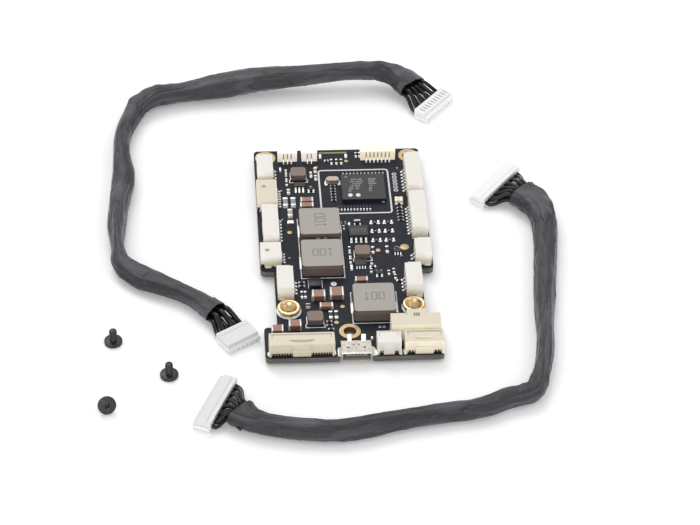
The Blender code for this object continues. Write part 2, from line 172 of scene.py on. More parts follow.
def edge_look():
    """Sawn glass-fibre edge: grey olive layers."""
    look = Look("board_edge", (0.10, 0.095, 0.08), 0.7)
    layers = look.noise(700, 3, stretch=(0.3, 0.3, 4.0))
    look.color(look.ramp(layers, (0.3, (0.06, 0.056, 0.05)), (0.7, (0.16, 0.15, 0.132))))
    look.bump(layers, 0.4, 0.00004)
    return look.mat


def nylon_look(name, top, low, warm, painted_glow=0.0):
    """Moulded nylon: soft scatter and faint flow marks; its tone runs darker and warmer towards its foot,
    which is painted shade; the glow is painted light, given off though the part is no lamp.
    """
    # the emission is a painted glow
    look = Look(name, top, 0.42, Subsurface_Weight=0.15, Subsurface_Radius=(0.0012, 0.001, 0.0007),
                Subsurface_Scale=0.5, Emission_Color=(*top, 1.0), Emission_Strength=painted_glow)
    cloud = look.noise(260, 3)
    # painted shade: the low tone darkens the nylon towards its foot
    tone = look.mix(look.height(0.0030, 0.0056), low, top)
    tone = look.mix(look.ramp(cloud, (0.42, (0, 0, 0)), (0.68, (0.55, 0.55, 0.55))), tone, warm)
    look.color(tone)
    look.rough(look.noise(1500, 3), 0.34, 0.52)
    look.bump(look.noise(2200, 2), 0.08, 0.00003)
    return look.mat


def ferrite_look(name, light, dark, speck=1.0):
    """Pressed metal powder: matt grain with tiny light and dark specks."""
    look = Look(name, light, 0.62)
    grain = look.noise(5200, 5, rough=0.7)
    cloud = look.noise(350, 3)
    tone = look.mix(grain, dark, light)
    look.color(look.mix(look.ramp(cloud, (0.35, (0, 0, 0)), (0.75, (0.35 * speck,) * 3)), tone, light))
    look.rough(grain, 0.5, 0.75)
    look.bump(grain, 0.22, 0.00004)
    return look.mat


def epoxy_look():
    """Chip moulding compound: sparkling fine texture, dark grey."""
    look = Look("epoxy", (0.03, 0.03, 0.032), 0.52)
    grain = look.noise(4200, 4, rough=0.65)
    look.color(look.ramp(grain, (0.3, (0.015, 0.0148, 0.0145)), (0.75, (0.040, 0.039, 0.038))))
    look.rough(grain, 0.42, 0.62)
    look.bump(grain, 0.2, 0.00003)
    return look.mat


def ceramic_look(name, a, b):
    look = Look(name, a, 0.45)
    cloud = look.noise(1400, 4)
    look.color(look.ramp(cloud, (0.3, b), (0.7, a)))
    look.rough(cloud, 0.35, 0.55)
    look.bump(look.noise(4000, 2), 0.12, 0.00002)
    return look.mat


def metal_look(name, a, b, rough=(0.2, 0.4), scale=1500, bump=0.15, metal=1.0):
    look = Look(name, a, rough[0], metal)
    cloud = look.noise(scale, 4)
    look.color(look.ramp(cloud, (0.3, b), (0.7, a)))
    look.rough(look.noise(scale * 1.7, 3), *rough)
    look.bump(cloud, bump, 0.00003)
    return look.mat


def shell_look():
    """Tinned steel above the board; below the board's upper face, on the part sunk into the notch, it turns
    dark and hardly metallic, which is painted shade.
    """
    look = Look("tinned_steel_painted_shade_below", (0.76, 0.71, 0.64), 0.4, 0.6)
    cloud = look.noise(1100, 4)
    bright = look.ramp(cloud, (0.3, (0.40, 0.37, 0.33)), (0.7, (0.58, 0.54, 0.48)))
    # painted shade: dark and hardly metallic below the board's upper face
    height = look.height(0.0024, 0.0028)
    look.color(look.mix(height, (0.36, 0.335, 0.29), bright))
    look.link(look.math("MULTIPLY", height, 0.6), look.shader.inputs["Metallic"])
    look.rough(look.noise(1900, 3), 0.34, 0.55)
    look.bump(cloud, 0.2, 0.00003)
    return look.mat


def sleeve_look():
    """Charcoal woven sleeve: crossing fine braid with a satin sheen; its lighter and darker patches along the
    folds are painted highlight and shade, and its creases are darkened as painted shade.
    """
    look = Look("braided_sleeve", (0.022, 0.023, 0.027), 0.5, Sheen_Weight=0.22, Sheen_Roughness=0.4,
                Sheen_Tint=(0.8, 0.84, 0.95, 1.0))
    waves = []
    for turn in (0.62, -0.62):
        node = look.node("TexWave", Scale=1.0)
        look.link(look.mapping("UV", (900, 900, 1), (0, 0, turn)), node.inputs["Vector"])
        waves.append(node.outputs["Fac"])
    weave = look.math("MULTIPLY", *waves)
    cloud = look.noise(0.85, 2, rough=0.5, distortion=0.4, vector=look.round_tube(GIRTH, 70))
    fuzz = look.noise(1500, 4, rough=0.7)
    # painted light and shade: the tone runs from shade (low, dusk) to a painted highlight (lit) in broad
    # patches
    low, dusk, lit = (0.009, 0.0088, 0.0115), (0.019, 0.0187, 0.0235), (0.066, 0.065, 0.077)
    tone = look.ramp(cloud, (0.36, low), (0.5, dusk), (0.66, lit))
    tone = look.mix(look.math("MULTIPLY", weave, 0.22), tone, (0.05, 0.049, 0.056))
    grain = look.ramp(fuzz, (0.40, (0, 0, 0)), (0.66, (0.38, 0.38, 0.38)))
    tone = look.mix(grain, tone, (0.060, 0.058, 0.069))
    fold = look.noise(0.7, 1, distortion=0.5, vector=look.round_tube(GIRTH, 85))
    # painted shade: the creases are darkened
    crease = look.ramp(fold, (0.38, (1, 1, 1)), (0.49, (0.25, 0.25, 0.25)), (0.54, (1, 1, 1)))
    look.color(look.mix(crease, look.mix(0.3, tone, low), tone))
    look.rough(cloud, 0.40, 0.56)
    folded = look.bump(look.math("ADD", look.math("MULTIPLY", crease, 0.3), cloud), 1.0, 0.0009)
    look.bump(look.math("ADD", weave, look.math("MULTIPLY", fuzz, 1.2)), 0.3, 0.00006, folded)
    return look.mat


def wire_look():
    look = Look("wire_sheath", (0.008, 0.008, 0.009), 0.18, Specular_IOR_Level=0.3, Coat_Weight=0.12,
                Coat_Roughness=0.1)
    cloud = look.noise(600, 3)
    look.color(look.mix(cloud, (0.005, 0.005, 0.006), (0.012, 0.012, 0.013)))
    look.rough(cloud, 0.14, 0.3)
    look.bump(look.noise(900, 2), 0.1, 0.00004)
    return look.mat


MASK, BOARD_EDGE = mask_look(), edge_look()
WHITE = nylon_look("white_nylon", (0.785, 0.76, 0.72), (0.74, 0.67, 0.55), (0.77, 0.72, 0.63))
CREAM = nylon_look("cream_nylon", (0.70, 0.635, 0.51), (0.70, 0.61, 0.43), (0.68, 0.61, 0.46))
PLUG = nylon_look("plug_nylon", (0.87, 0.87, 0.87), (0.87, 0.87, 0.865), (0.86, 0.86, 0.85))
# a darker copy of the plug nylon for the second plug of each cable: painted shade
SHADED_PLUG = nylon_look("plug_nylon_painted_shade", (0.69, 0.695, 0.70), (0.70, 0.70, 0.70), (0.72, 0.71, 0.70))
# lighter, glowing copies of the header nylon for the headers' sides: painted light; the white one also
# darkens strongly towards its foot, painted shade
LIT_CREAM = nylon_look("cream_nylon_flank_painted_light", (0.90, 0.84, 0.68), (0.80, 0.70, 0.48), (0.80, 0.72, 0.54), 0.09)
LIT_WHITE = nylon_look("white_nylon_flank_painted_light", (0.93, 0.91, 0.87), (0.53, 0.44, 0.27), (0.76, 0.70, 0.57), 0.10)
# lighter copies of the header nylon with a strong glow, for the headers along the far edge: painted light
FAR_WHITE_GLOW = nylon_look("white_nylon_far_painted_glow", (0.93, 0.90, 0.85), (0.86, 0.81, 0.70), (0.87, 0.83, 0.74), 0.33)
FAR_CREAM_GLOW = nylon_look("cream_nylon_far_painted_glow", (0.93, 0.86, 0.68), (0.86, 0.77, 0.54), (0.87, 0.79, 0.60), 0.33)
# tan fill for the low headers' contact slots: painted shade standing in for the shaded recesses
SLOT_SHADE = nylon_look("contact_slot_painted_shade", (0.55, 0.45, 0.30), (0.42, 0.33, 0.20), (0.50, 0.40, 0.26))
FERRITE_TOP = ferrite_look("ferrite_top", (0.405, 0.372, 0.338), (0.33, 0.303, 0.275))
# a darker copy of the ferrite for the coils' sides: painted shade
FERRITE_SIDE_SHADE = ferrite_look("ferrite_side_painted_shade", (0.16, 0.122, 0.108), (0.10, 0.077, 0.068))
BROWN_TOP = ferrite_look("small_ferrite_top", (0.27, 0.195, 0.16), (0.17, 0.12, 0.10))
ENGRAVED = ferrite_look("engraved_mark", (0.235, 0.215, 0.20), (0.18, 0.165, 0.15), 0.4)
EPOXY = epoxy_look()
CERAMIC = ceramic_look("fired_ceramic", (0.39, 0.215, 0.15), (0.27, 0.14, 0.10))
# a darker copy of the capacitor ceramic for their sides: painted shade
CERAMIC_SIDE_SHADE = ceramic_look("fired_ceramic_side_painted_shade", (0.20, 0.105, 0.078), (0.12, 0.062, 0.046))
CAP_TIN = metal_look("capacitor_tin", (0.80, 0.77, 0.73), (0.58, 0.55, 0.52), (0.3, 0.5), metal=0.45)
RESISTOR = ceramic_look("resistor_glaze", (0.02, 0.02, 0.022), (0.012, 0.012, 0.014))
BEIGE = ceramic_look("beige_ceramic", (0.55, 0.42, 0.28), (0.42, 0.30, 0.19))
TIN = metal_look("bright_tin", (0.97, 0.96, 0.95), (0.88, 0.87, 0.85), (0.22, 0.42), metal=0.45)
DULL_TIN = metal_look("dull_tin", (0.62, 0.60, 0.58), (0.42, 0.41, 0.40), (0.3, 0.5), metal=0.5)
STEEL = shell_look()
GOLD = metal_look("gold_pad", (0.58, 0.435, 0.25), (0.46, 0.335, 0.18), (0.38, 0.58), metal=0.8)
BRASS = metal_look("turned_brass", (0.88, 0.67, 0.39), (0.72, 0.50, 0.25), (0.12, 0.3), 700, 0.08)
LID = metal_look("resonator_lid", (0.47, 0.385, 0.33), (0.37, 0.30, 0.26), (0.35, 0.5), metal=0.7)
SCREW = metal_look("blackened_steel", (0.07, 0.07, 0.073), (0.035, 0.035, 0.038), (0.32, 0.5), metal=0.8)
SILK = ceramic_look("silk_print", (0.80, 0.81, 0.82), (0.60, 0.61, 0.63))
FAINT = ceramic_look("laser_mark", (0.40, 0.375, 0.345), (0.25, 0.235, 0.22))
OLIVE = ceramic_look("olive_strip", (0.30, 0.28, 0.07), (0.20, 0.19, 0.05))
RESIN = ceramic_look("led_resin", (0.84, 0.73, 0.58), (0.70, 0.58, 0.45))
# a darker, bluer copy of the chip moulding for the processor's sides: painted shade
EPOXY_SIDE_SHADE = ceramic_look("moulding_side_painted_shade", (0.012, 0.016, 0.026), (0.007, 0.010, 0.017))
# near-black for openings, slots and gaps: painted shade
CAVITY_SHADE = ceramic_look("cavity_painted_shade", (0.02, 0.019, 0.018), (0.01, 0.01, 0.01))
SLEEVE, WIRE = sleeve_look(), wire_look()


# ------------------------------------------------------------------ mesh tools

SHARP = radians(38)           # edges keener than this stay sharp under smooth shading


def skin(bm, rings, closed=False):
    """Faces between successive rings of vertices; an open run gets end caps."""
    for a, b in list(zip(rings, rings[1:])) + ([(rings[-1], rings[0])] if closed else []):
        for i in range(len(a)):
            j = (i + 1) % len(a)
            bm.faces.new((a[i], a[j], b[j], b[i]))
    if not closed:
        bm.faces.new(rings[0])
        bm.faces.new(rings[-1])


def turned(bm, profile, n, x=0.0, y=0.0, squash=1.0):
    """A ring of n vertices about (x, y) for each (radius, height)."""
    angles = [2 * pi * i / n for i in range(n)]
    return [[bm.verts.new((x + r * cos(a), y + r * squash * sin(a), z)) for a in angles] for r, z in profile]


class Parts:
    """Collects small solids, in millimetres, that share a material and a body."""

    def __init__(self, name, mat, body="board"):
        self.name, self.mat, self.body = name, mat, body
        self.bm = bmesh.new()

    def box(self, x0, x1, y0, y1, z0, z1, edge=0.05, taper=0.0):
        """Box with rounded edges between limits; taper draws its top in."""
        verts = bmesh.ops.create_cube(self.bm, size=1.0)["verts"]
        bmesh.ops.scale(self.bm, vec=(abs(x1 - x0), abs(y1 - y0), abs(z1 - z0)), verts=verts)
        for v in verts:
            if taper and v.co.z > 0:
                v.co.x -= taper if v.co.x > 0 else -taper
                v.co.y -= taper if v.co.y > 0 else -taper
        bmesh.ops.translate(self.bm, vec=((x0 + x1) / 2, (y0 + y1) / 2, (z0 + z1) / 2), verts=verts)
        if edge:
            edges = list({e for v in verts for e in v.link_edges})
            bmesh.ops.bevel(self.bm, geom=edges, offset=edge, segments=2, profile=0.6,
                            affect="EDGES", clamp_overlap=True)

    def slab(self, x0, x1, y0, y1, low, high, edge=0.05, taper=0.0):
        """Box whose heights are over the board's upper face."""
        self.box(x0, x1, y0, y1, TOP + low, TOP + high, edge, taper)

    def pad(self, x, y, wide, deep, low, high, edge=0.05, taper=0.0):
        """Slab about (x, y); wide and deep are half its size."""
        self.slab(x - wide, x + wide, y - deep, y + deep, low, high, edge, taper)

    def ribbon(self, points, width, z0, z1, closed=False):
        """A flat printed line of even width through the points."""
        pts = [Vector(p) for p in points]
        n = len(pts)
        left, right = [], []
        for i, p in enumerate(pts):
            before = pts[i - 1] if i or closed else None
            after = pts[(i + 1) % n] if i < n - 1 or closed else None
            a = (p - before).normalized() if before is not None else (after - p).normalized()
            b = (after - p).normalized() if after is not None else a
            mid = (a + b).normalized()
            side = Vector((-mid.y, mid.x)) * width / 2 / max(0.5, mid.dot(a))
            left.append(p + side)
            right.append(p - side)
        for i in range(n if closed else n - 1):
            j = (i + 1) % n
            outline = (left[i], left[j], right[j], right[i])
            skin(self.bm, [[self.bm.verts.new((*q, z)) for q in outline] for z in (z0, z1)])

    def lathe(self, profile, x, y, n, closed=False, squash=1.0):
        """Turn (radius, height) points about Z; an open profile gets end caps."""
        skin(self.bm, turned(self.bm, profile, n, x, y, squash), closed)

    def ring(self, x, y, inner, outer, z0, z1, n):
        """A washer."""
        self.lathe([(inner, z0), (outer, z0), (outer, z1), (inner, z1)], x, y, n, closed=True)

    def lead(self, x, y, dx, dy, width, reach, rise):
        """A gull-wing contact that leaves (x, y) along (dx, dy) and lands on the board."""
        path = [(-0.25, rise), (0.1, rise), (0.3, rise * 0.72), (0.42, 0.16), (0.58, 0.06), (reach, 0.05)]
        across, thick = Vector((-dy, dx, 0)) * width / 2, Vector((0, 0, 0.16))
        rows = []
        for k, (u, z) in enumerate(path):
            c = Vector((x + dx * u, y + dy * u, TOP + z))
            lift = thick + Vector((dx, dy, 0)) * (0.08 if 0 < k < 4 else 0)
            corners = (c - across, c + across, c + across + lift, c - across + lift)
            rows.append([self.bm.verts.new(q) for q in corners])
        skin(self.bm, rows)

    def done(self, **how):
        return piece(self.name, self.bm, self.mat, self.body, **how)


def piece(name, bm, mat, body, smooth=True, replaces=(), place=Matrix.Scale(MM, 4)):
    """Turn a millimetre mesh into a piece that rides a body and may stand in for CAD nodes."""
    bmesh.ops.recalc_face_normals(bm, faces=bm.faces)
    bmesh.ops.transform(bm, matrix=place, verts=bm.verts)
    mesh = bpy.data.meshes.new(name)
    bm.to_mesh(mesh)
    bm.free()
    obj = bpy.data.objects.new(name, mesh)
    bpy.context.scene.collection.objects.link(obj)
    mesh.materials.append(mat)
    if smooth:
        mesh.shade_smooth()
        mesh.set_sharp_from_angle(angle=SHARP)
    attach(obj, body)
    if replaces:
        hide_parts(*replaces)
    return obj


def done(*groups, smooth=True):
    """Finish several collections, in this order."""
    for group in groups:
        group.done(smooth=smooth)


def rounded(x0, x1, y0, y1, r, steps=5):
    """Outline of a rectangle with round corners."""
    out = []
    for cx, cy, start in ((x1 - r, y1 - r, 0), (x0 + r, y1 - r, 90),
                          (x0 + r, y0 + r, 180), (x1 - r, y0 + r, 270)):
        for k in range(steps + 1):
            a = radians(start + 90 * k / steps)
            out.append((cx + r * cos(a), cy + r * sin(a)))
    return out


def dress(node, mat, edge=0.0, drop=True, side=None, segments=2):
    """Give a CAD node its finish: material, soft edges and, for soldered parts, a seat on the board."""
    obj = NODES[node]
    mesh = obj.data
    mesh.materials.clear()
    mesh.materials.append(mat)
    if side is not None:
        mesh.materials.append(side)
    for face in mesh.polygons:
        face.material_index = int(side is not None and abs(face.normal.z) < 0.6)
    if drop:
        mod = obj.modifiers.new("seat", "DISPLACE")
        mod.direction, mod.mid_level, mod.strength = "Z", 0.0, -DROP * MM
    if edge:
        mod = obj.modifiers.new("soft_edges", "BEVEL")
        mod.width, mod.segments = edge * MM, segments
        mod.limit_method, mod.angle_limit = "ANGLE", radians(50)
        mod.harden_normals = node.startswith("header_front")
    mesh.shade_smooth()
    mesh.set_sharp_from_angle(angle=SHARP)
    return obj


# ------------------------------------------------------------------ camera and light

def make_camera():
    cam = bpy.data.cameras.new("camera")
    cam.lens, cam.sensor_width = 139.46, 36.0
    cam.clip_start, cam.clip_end = 0.02, 20.0
    obj = bpy.data.objects.new("camera", cam)
    obj.location = (-0.042169, -0.512540, 0.445382)
    obj.rotation_euler = Euler((radians(48.97166), radians(-1.36505), radians(-3.65782)), "XYZ")
    bpy.context.scene.collection.objects.link(obj)
    bpy.context.scene.camera = obj


def area_light(name, place, size, watts, color):
    """Disk light that looks at the middle of the table; metres."""
    light = bpy.data.lights.new(name, "AREA")
    light.shape, light.size, light.energy, light.color = "DISK", size, watts, color
    obj = bpy.data.objects.new(name, light)
    obj.location = place
    obj.rotation_euler = (-Vector(place)).to_track_quat("-Z", "Y").to_euler()
    bpy.context.scene.collection.objects.link(obj)


def make_stage():
    """White table and the soft light of a photographer's tent."""
    bm = bmesh.new()
    bmesh.ops.create_grid(bm, x_segments=1, y_segments=1, size=3.0)
    mesh = bpy.data.meshes.new("floor")
    bm.to_mesh(mesh)
    bm.free()
    table = bpy.data.objects.new("floor", mesh)
    table.location = (0, 0, -0.00002)
    bpy.context.scene.collection.objects.link(table)
    look = Look("floor", (0.95, 0.95, 0.95), 0.75, Specular_IOR_Level=0.05,
                Emission_Color=(1, 0.995, 0.985, 1), Emission_Strength=0.11)
    look.color(look.mix(look.noise(6, 2), (0.948, 0.948, 0.948), (0.956, 0.956, 0.956)))
    mesh.materials.append(look.mat)
    world = bpy.data.worlds.new("world")
    world.use_nodes = True
    sky = world.node_tree.nodes["Background"].inputs
    sky["Color"].default_value, sky["Strength"].default_value = (0.97, 0.985, 1.0, 1), 0.70
    bpy.context.scene.world = world
    area_light("key", (-0.25, 0.75, 1.05), 0.9, 6.2, (1.0, 0.99, 0.97))
    area_light("fill", (0.7, -0.2, 0.9), 0.8, 1.0, (0.97, 0.985, 1.0))
    area_light("front", (-0.15, -1.05, 0.36), 1.1, 4.2, (1.0, 0.985, 0.96))
    bpy.context.scene.view_settings.view_transform = "Standard"


# ------------------------------------------------------------------ cables

# how each sleeve runs over the table from plug to plug, lying a little lower than the solid tube:
# x, y, z and the half width and half height of its section there; the end rows are at the plugs
ROUTE_A = (
    (25.7, 60.6, 3.0, 4.5, 2.3), (23.6, 62.4, 3.1, 4.4, 2.4), (19.4, 67.3, 4.1, 3.7, 2.5),
    (14.0, 69.8, 5.0, 3.0, 2.5), (7.0, 70.05, 5.3, 2.8, 2.3), (0.0, 69.6, 5.1, 2.9, 2.35),
    (-10.0, 68.8, 4.5, 3.2, 2.7), (-20.0, 68.2, 4.2, 3.5, 2.9), (-30.0, 66.7, 3.5, 3.5, 2.8),
    (-40.0, 64.9, 3.0, 2.9, 2.4), (-46.7, 63.6, 3.0, 3.2, 2.8), (-51.2, 60.0, 2.8, 3.0, 2.3),
    (-53.3, 55.0, 2.6, 2.35, 2.3), (-55.4, 47.1, 2.9, 2.1, 2.8), (-55.8, 39.0, 3.0, 2.2, 3.1),
    (-55.5, 30.0, 2.9, 3.0, 2.7), (-56.4, 20.0, 3.0, 2.7, 3.0), (-57.0, 10.0, 3.0, 2.2, 3.2),
    (-56.8, 2.0, 3.0, 1.6, 3.1), (-55.6, -3.8, 2.6, 2.5, 2.3), (-51.0, -8.4, 2.2, 3.5, 1.9),
    (-46.0, -11.9, 2.4, 2.9, 2.1), (-41.0, -14.9, 2.4, 2.3, 2.2), (-36.4, -18.5, 2.4, 2.6, 2.2),
    (-31.2, -24.5, 2.6, 3.1, 2.4), (-29.6, -27.1, 2.6, 3.2, 2.4))
ROUTE_B = (
    (42.2, 23.6, 2.8, 5.2, 2.3), (44.4, 21.8, 2.8, 5.0, 2.4), (49.2, 16.6, 2.8, 4.2, 2.7),
    (51.0, 10.5, 2.8, 3.3, 2.8), (50.9, 4.0, 2.8, 3.1, 2.8), (49.8, -5.0, 2.8, 3.0, 2.8),
    (48.6, -14.0, 2.8, 2.75, 2.8), (47.4, -23.0, 2.8, 2.4, 2.9), (46.6, -31.0, 2.8, 2.1, 3.0),
    (45.6, -39.5, 2.8, 2.1, 3.0), (43.9, -46.9, 2.7, 2.1, 2.6), (41.2, -53.0, 2.5, 2.7, 2.2),
    (34.9, -55.1, 2.4, 2.7, 2.1), (28.0, -58.1, 2.4, 2.6, 2.1), (19.9, -59.2, 2.4, 2.5, 2.2),
    (10.0, -61.0, 2.4, 2.5, 2.2), (2.0, -63.0, 2.4, 2.75, 2.3), (-6.0, -64.3, 2.5, 2.7, 2.3),
    (-14.0, -63.5, 2.5, 2.75, 2.3), (-21.1, -61.9, 2.5, 2.8, 2.4), (-26.4, -59.6, 2.6, 3.3, 2.6),
    (-29.7, -56.0, 2.7, 4.7, 2.6), (-31.8, -54.3, 2.7, 5.3, 2.6))
# (x, y, turn, length, depth, height, contacts) of each plug, as in the solid model
PLUGS = {
    "plug_a1": (27.5, 59.1, 49.7, 12.6, 4.0, 3.0, 10),
    "plug_a2": (-27.8, -30.3, 33.0, 8.75, 6.0, 2.6, 6),
    "plug_b1": (40.2, 25.2, 230.8, 17.0, 4.4, 3.0, 13),
    "plug_b2": (-33.94, -53.13, 246.3, 17.0, 4.4, 3.0, 13),
}
CHEEKS = 2.4                  # what a plug's two ends take from its row of contacts
STEP = 0.7                    # between the rings of a sleeve
SIDES = 72                    # vertices in each of them
HEM = ((4.0, 0.72), (1.0, 0.84), (0.05, 0.90))   # depth inside a mouth and how far the ring is drawn in


def catmull(points, per_span):
    """Points on a Catmull-Rom curve through the given vectors."""
    pts = [2 * points[0] - points[1]] + list(points) + [2 * points[-1] - points[-2]]
    out = []
    for a, b, c, d in zip(pts, pts[1:], pts[2:], pts[3:]):
        for k in range(per_span):
            t = k / per_span
            out.append(0.5 * (2 * b + (c - a) * t + (2 * a - 5 * b + 4 * c - d) * t * t
                              + (3 * b - a - 3 * c + d) * t ** 3))
    out.append(pts[-2])
    return out


def resample(points, spacing):
    """Points at even distances along a dense line of vectors; only x, y, z count as distance."""
    total, marks = 0.0, [0.0]
    for p, q in zip(points, points[1:]):
        total += (Vector(q[:3]) - Vector(p[:3])).length
        marks.append(total)
    count = max(2, round(total / spacing))
    out, k = [], 0
    for i in range(count + 1):
        s = total * i / count
        while k < len(marks) - 2 and marks[k + 1] < s:
            k += 1
        t = (s - marks[k]) / max(1e-9, marks[k + 1] - marks[k])
        out.append(points[k].lerp(points[k + 1], min(1.0, t)))
    return out


def sleeve(key, route, start, end, seed):
    """Woven sleeve, a closed skin with hemmed mouths; start and end are the wire lengths left bare."""
    line = resample(catmull([Vector(row) for row in route], 24), STEP)
    line = line[round(start / STEP):len(line) - round(end / STEP)]
    last = len(line) - 1
    centres, rows, bm = [], [], bmesh.new()
    uv = bm.loops.layers.uv.new("weave")

    def frame_at(i):
        a, b = line[max(0, i - 2)], line[min(last, i + 2)]
        tangent = Vector((b - a)[:3]).normalized()
        across = tangent.cross(Vector((0, 0, 1))).normalized()
        return tangent, across, across.cross(tangent)

    def bend_at(i):
        a, b, c = (Vector(line[min(last, max(0, i + k))][:2]) for k in (-9, 0, 9))
        return (b - a).angle(c - b, 0.0)

    def hem(i, ring, depth, shrink):
        """A drawn-in copy of an end ring, moved along the sleeve."""
        centre = sum((v.co for v in ring), Vector()) / SIDES
        shift = frame_at(i)[0] * depth
        return [bm.verts.new(centre + (v.co - centre) * shrink + shift) for v in ring]

    for i, (x, y, z, wide, high) in enumerate(line):
        tangent, across, up = frame_at(i)
        bend = min(1.0, bend_at(i) * 1.6)
        along, mouth = i * STEP, min(i, last - i) * STEP
        centre = Vector((x, y, max(z, high + 0.12)))
        centres.append(centre)
        ring = []
        for k in range(SIDES):
            a = 2 * pi * k / SIDES
            ca, sa = cos(a), sin(a)
            cx = wide * abs(ca) ** 0.9 * (1 if ca >= 0 else -1)       # a flattened tube,
            cz = high * abs(sa) ** 1.12 * (1 if sa >= 0 else -1)      # keen at its flanks
            long_fold = noise.noise(Vector((along * 0.050, ca * 1.5, sa * 1.5 + seed)))
            soft = noise.noise(Vector((along * 0.13, ca * 1.1 + seed, sa * 1.1)))
            crease = noise.noise(Vector((along * 0.40 + 0.9 * ca, ca, sa + 2 * seed)))
            ridge = 1 - abs(noise.noise(Vector((along * 0.07, ca * 1.8 + 7, sa * 1.8 - seed)))) * 2
            push = 1 + 0.13 * long_fold + 0.06 * soft + 0.06 * max(0.0, ridge) ** 6
            for n, base in enumerate((0.9, 2.5)):          # two pressed folds that wander round the tube
                drift = base + 0.9 * noise.noise(Vector((along * 0.028, seed, 3.0 * n)))
                gap = (a - drift + pi) % (2 * pi) - pi
                push += 0.05 * max(0.0, 1 - abs(gap) / 0.22) ** 2
            push += (0.012 + 0.17 * bend) * crease
            if mouth < 2.5:                                # the ends ripple
                push *= 1 + 0.05 * (1 - mouth / 2.5) * sin(3 * a + seed)
            point = centre + across * cx * push + up * cz * push
            if mouth == 0:
                point += tangent * 0.35 * noise.noise(Vector((ca * 2, sa * 2, seed)))
            point.z = max(0.05, point.z)
            ring.append(bm.verts.new(point))
        rows.append(ring)

    rings = [hem(0, rows[0], depth, shrink) for depth, shrink in HEM] + rows
    rings += [hem(last, rows[-1], -depth, shrink) for depth, shrink in reversed(HEM)]
    run, girth = 0.0, GIRTH / SIDES
    for a, b in zip(rings, rings[1:]):
        ahead = run + (a[0].co - b[0].co).length
        for k in range(SIDES):
            j = (k + 1) % SIDES
            face = bm.faces.new((a[k], a[j], b[j], b[k]))
            for loop, (u, v) in zip(face.loops, ((k, run), (k + 1, run), (k + 1, ahead), (k, ahead))):
                loop[uv].uv = (u * girth, v * MM)
        run = ahead
    bm.faces.new(rings[0])
    bm.faces.new(rings[-1])
    obj = piece("sleeve_" + key, bm, SLEEVE, "cable_" + key, replaces=("cable_sleeve_" + key,))
    obj.data.shade_smooth()                                # cloth has no keen edges
    length = sum((q - p).length for p, q in zip(centres, centres[1:]))
    return obj, centres, length, [(centres[i], frame_at(i), line[i]) for i in (0, last)]


def wires(name, body, plug, mouth, flip, radius):
    """The bare wires between a plug's back and its sleeve's mouth, as one fan of closed tubes."""
    lift, sides = 0.9, 14                                  # how high the fan arches, and its tubes' roundness
    x, y, turn, length, depth, height, contacts = PLUGS[plug]
    centre, (tangent, across, up), (*_, wide, high) = mouth
    inward = tangent * flip
    spin = Matrix.Rotation(radians(turn), 3, "Z")
    back, side = spin @ Vector((0, 1, 0)), spin @ Vector((1, 0, 0))
    order = 1 if side.dot(across) > 0 else -1
    bm = bmesh.new()
    for i in range(contacts):
        u = i / (contacts - 1) * 2 - 1
        start = Vector((x, y, height * 0.5)) + side * (u * (length - CHEEKS) / 2) + back * (depth / 2 - 0.9)
        layer = 1 if i % 2 else -1
        jitter = noise.noise(Vector((i * 1.7, turn, 3.1)))
        inside = centre + across * (order * u * wide * 0.72) + up * (layer * high * 0.32 + 0.3 * jitter)
        way = inside - start
        a = start + back * (0.9 + 0.10 * way.length) + way * 0.12
        a.z += lift * (1 - u * u) + 0.3 * layer + 0.2 * jitter
        b = inside - inward * 0.10 * way.length - way * 0.16
        b.z += 0.4 * lift + 0.2 * layer + 0.3 * jitter
        line = catmull([start, start + back * 0.9, a, b, inside, inside + inward * 3.6], 7)
        for p in line:
            p.z = max(radius + 0.03, p.z)
        rings = []
        for k, p in enumerate(line):
            t = (line[min(k + 1, len(line) - 1)] - line[max(k - 1, 0)]).normalized()
            s = t.cross(Vector((0, 0, 1))).normalized()
            n = s.cross(t)
            rings.append([bm.verts.new(p + (s * cos(q) + n * sin(q)) * radius)
                          for q in (2 * pi * m / sides for m in range(sides))])
        skin(bm, rings)
    return piece(name, bm, WIRE, body)


def plug_details(plug, body):
    """Crimped contacts in the windows, polarising ribs on the flanks and the seam of the lid."""
    x, y, turn, length, depth, height, contacts = PLUGS[plug]
    metal, ribs = Parts(plug + "_contacts", DULL_TIN, body), Parts(plug + "_ribs", PLUG, body)
    for i in range(contacts):
        cx = (CHEEKS - length) / 2 + i * (length - CHEEKS) / (contacts - 1)
        if plug == "plug_a1":                              # in the windows of the top
            metal.box(cx - 0.17, cx + 0.17, -depth / 2 + 1.45, depth / 2 - 1.1,
                      height - 0.62, height - 0.34, 0.03)
        metal.box(cx - 0.2, cx + 0.2, -depth / 2 - 0.03, -depth / 2 + 0.2, 0.55, 1.05, 0.03)
    for s in (-1, 1):
        ribs.box(s * length / 2 - 0.25, s * length / 2 + 0.28, -depth / 2 + 0.5, depth / 2 - 0.4,
                 height * 0.30, height * 0.55, 0.08)
    ribs.box(0.5 - length / 2, length / 2 - 0.5, depth / 2 - 0.45, depth / 2 - 0.15,
             height - 0.1, height + 0.12)
    place = Matrix.Scale(MM, 4) @ Matrix.Translation((x, y, 0)) @ Matrix.Rotation(radians(turn), 4, "Z")
    return [group.done(place=place) for group in (metal, ribs)]


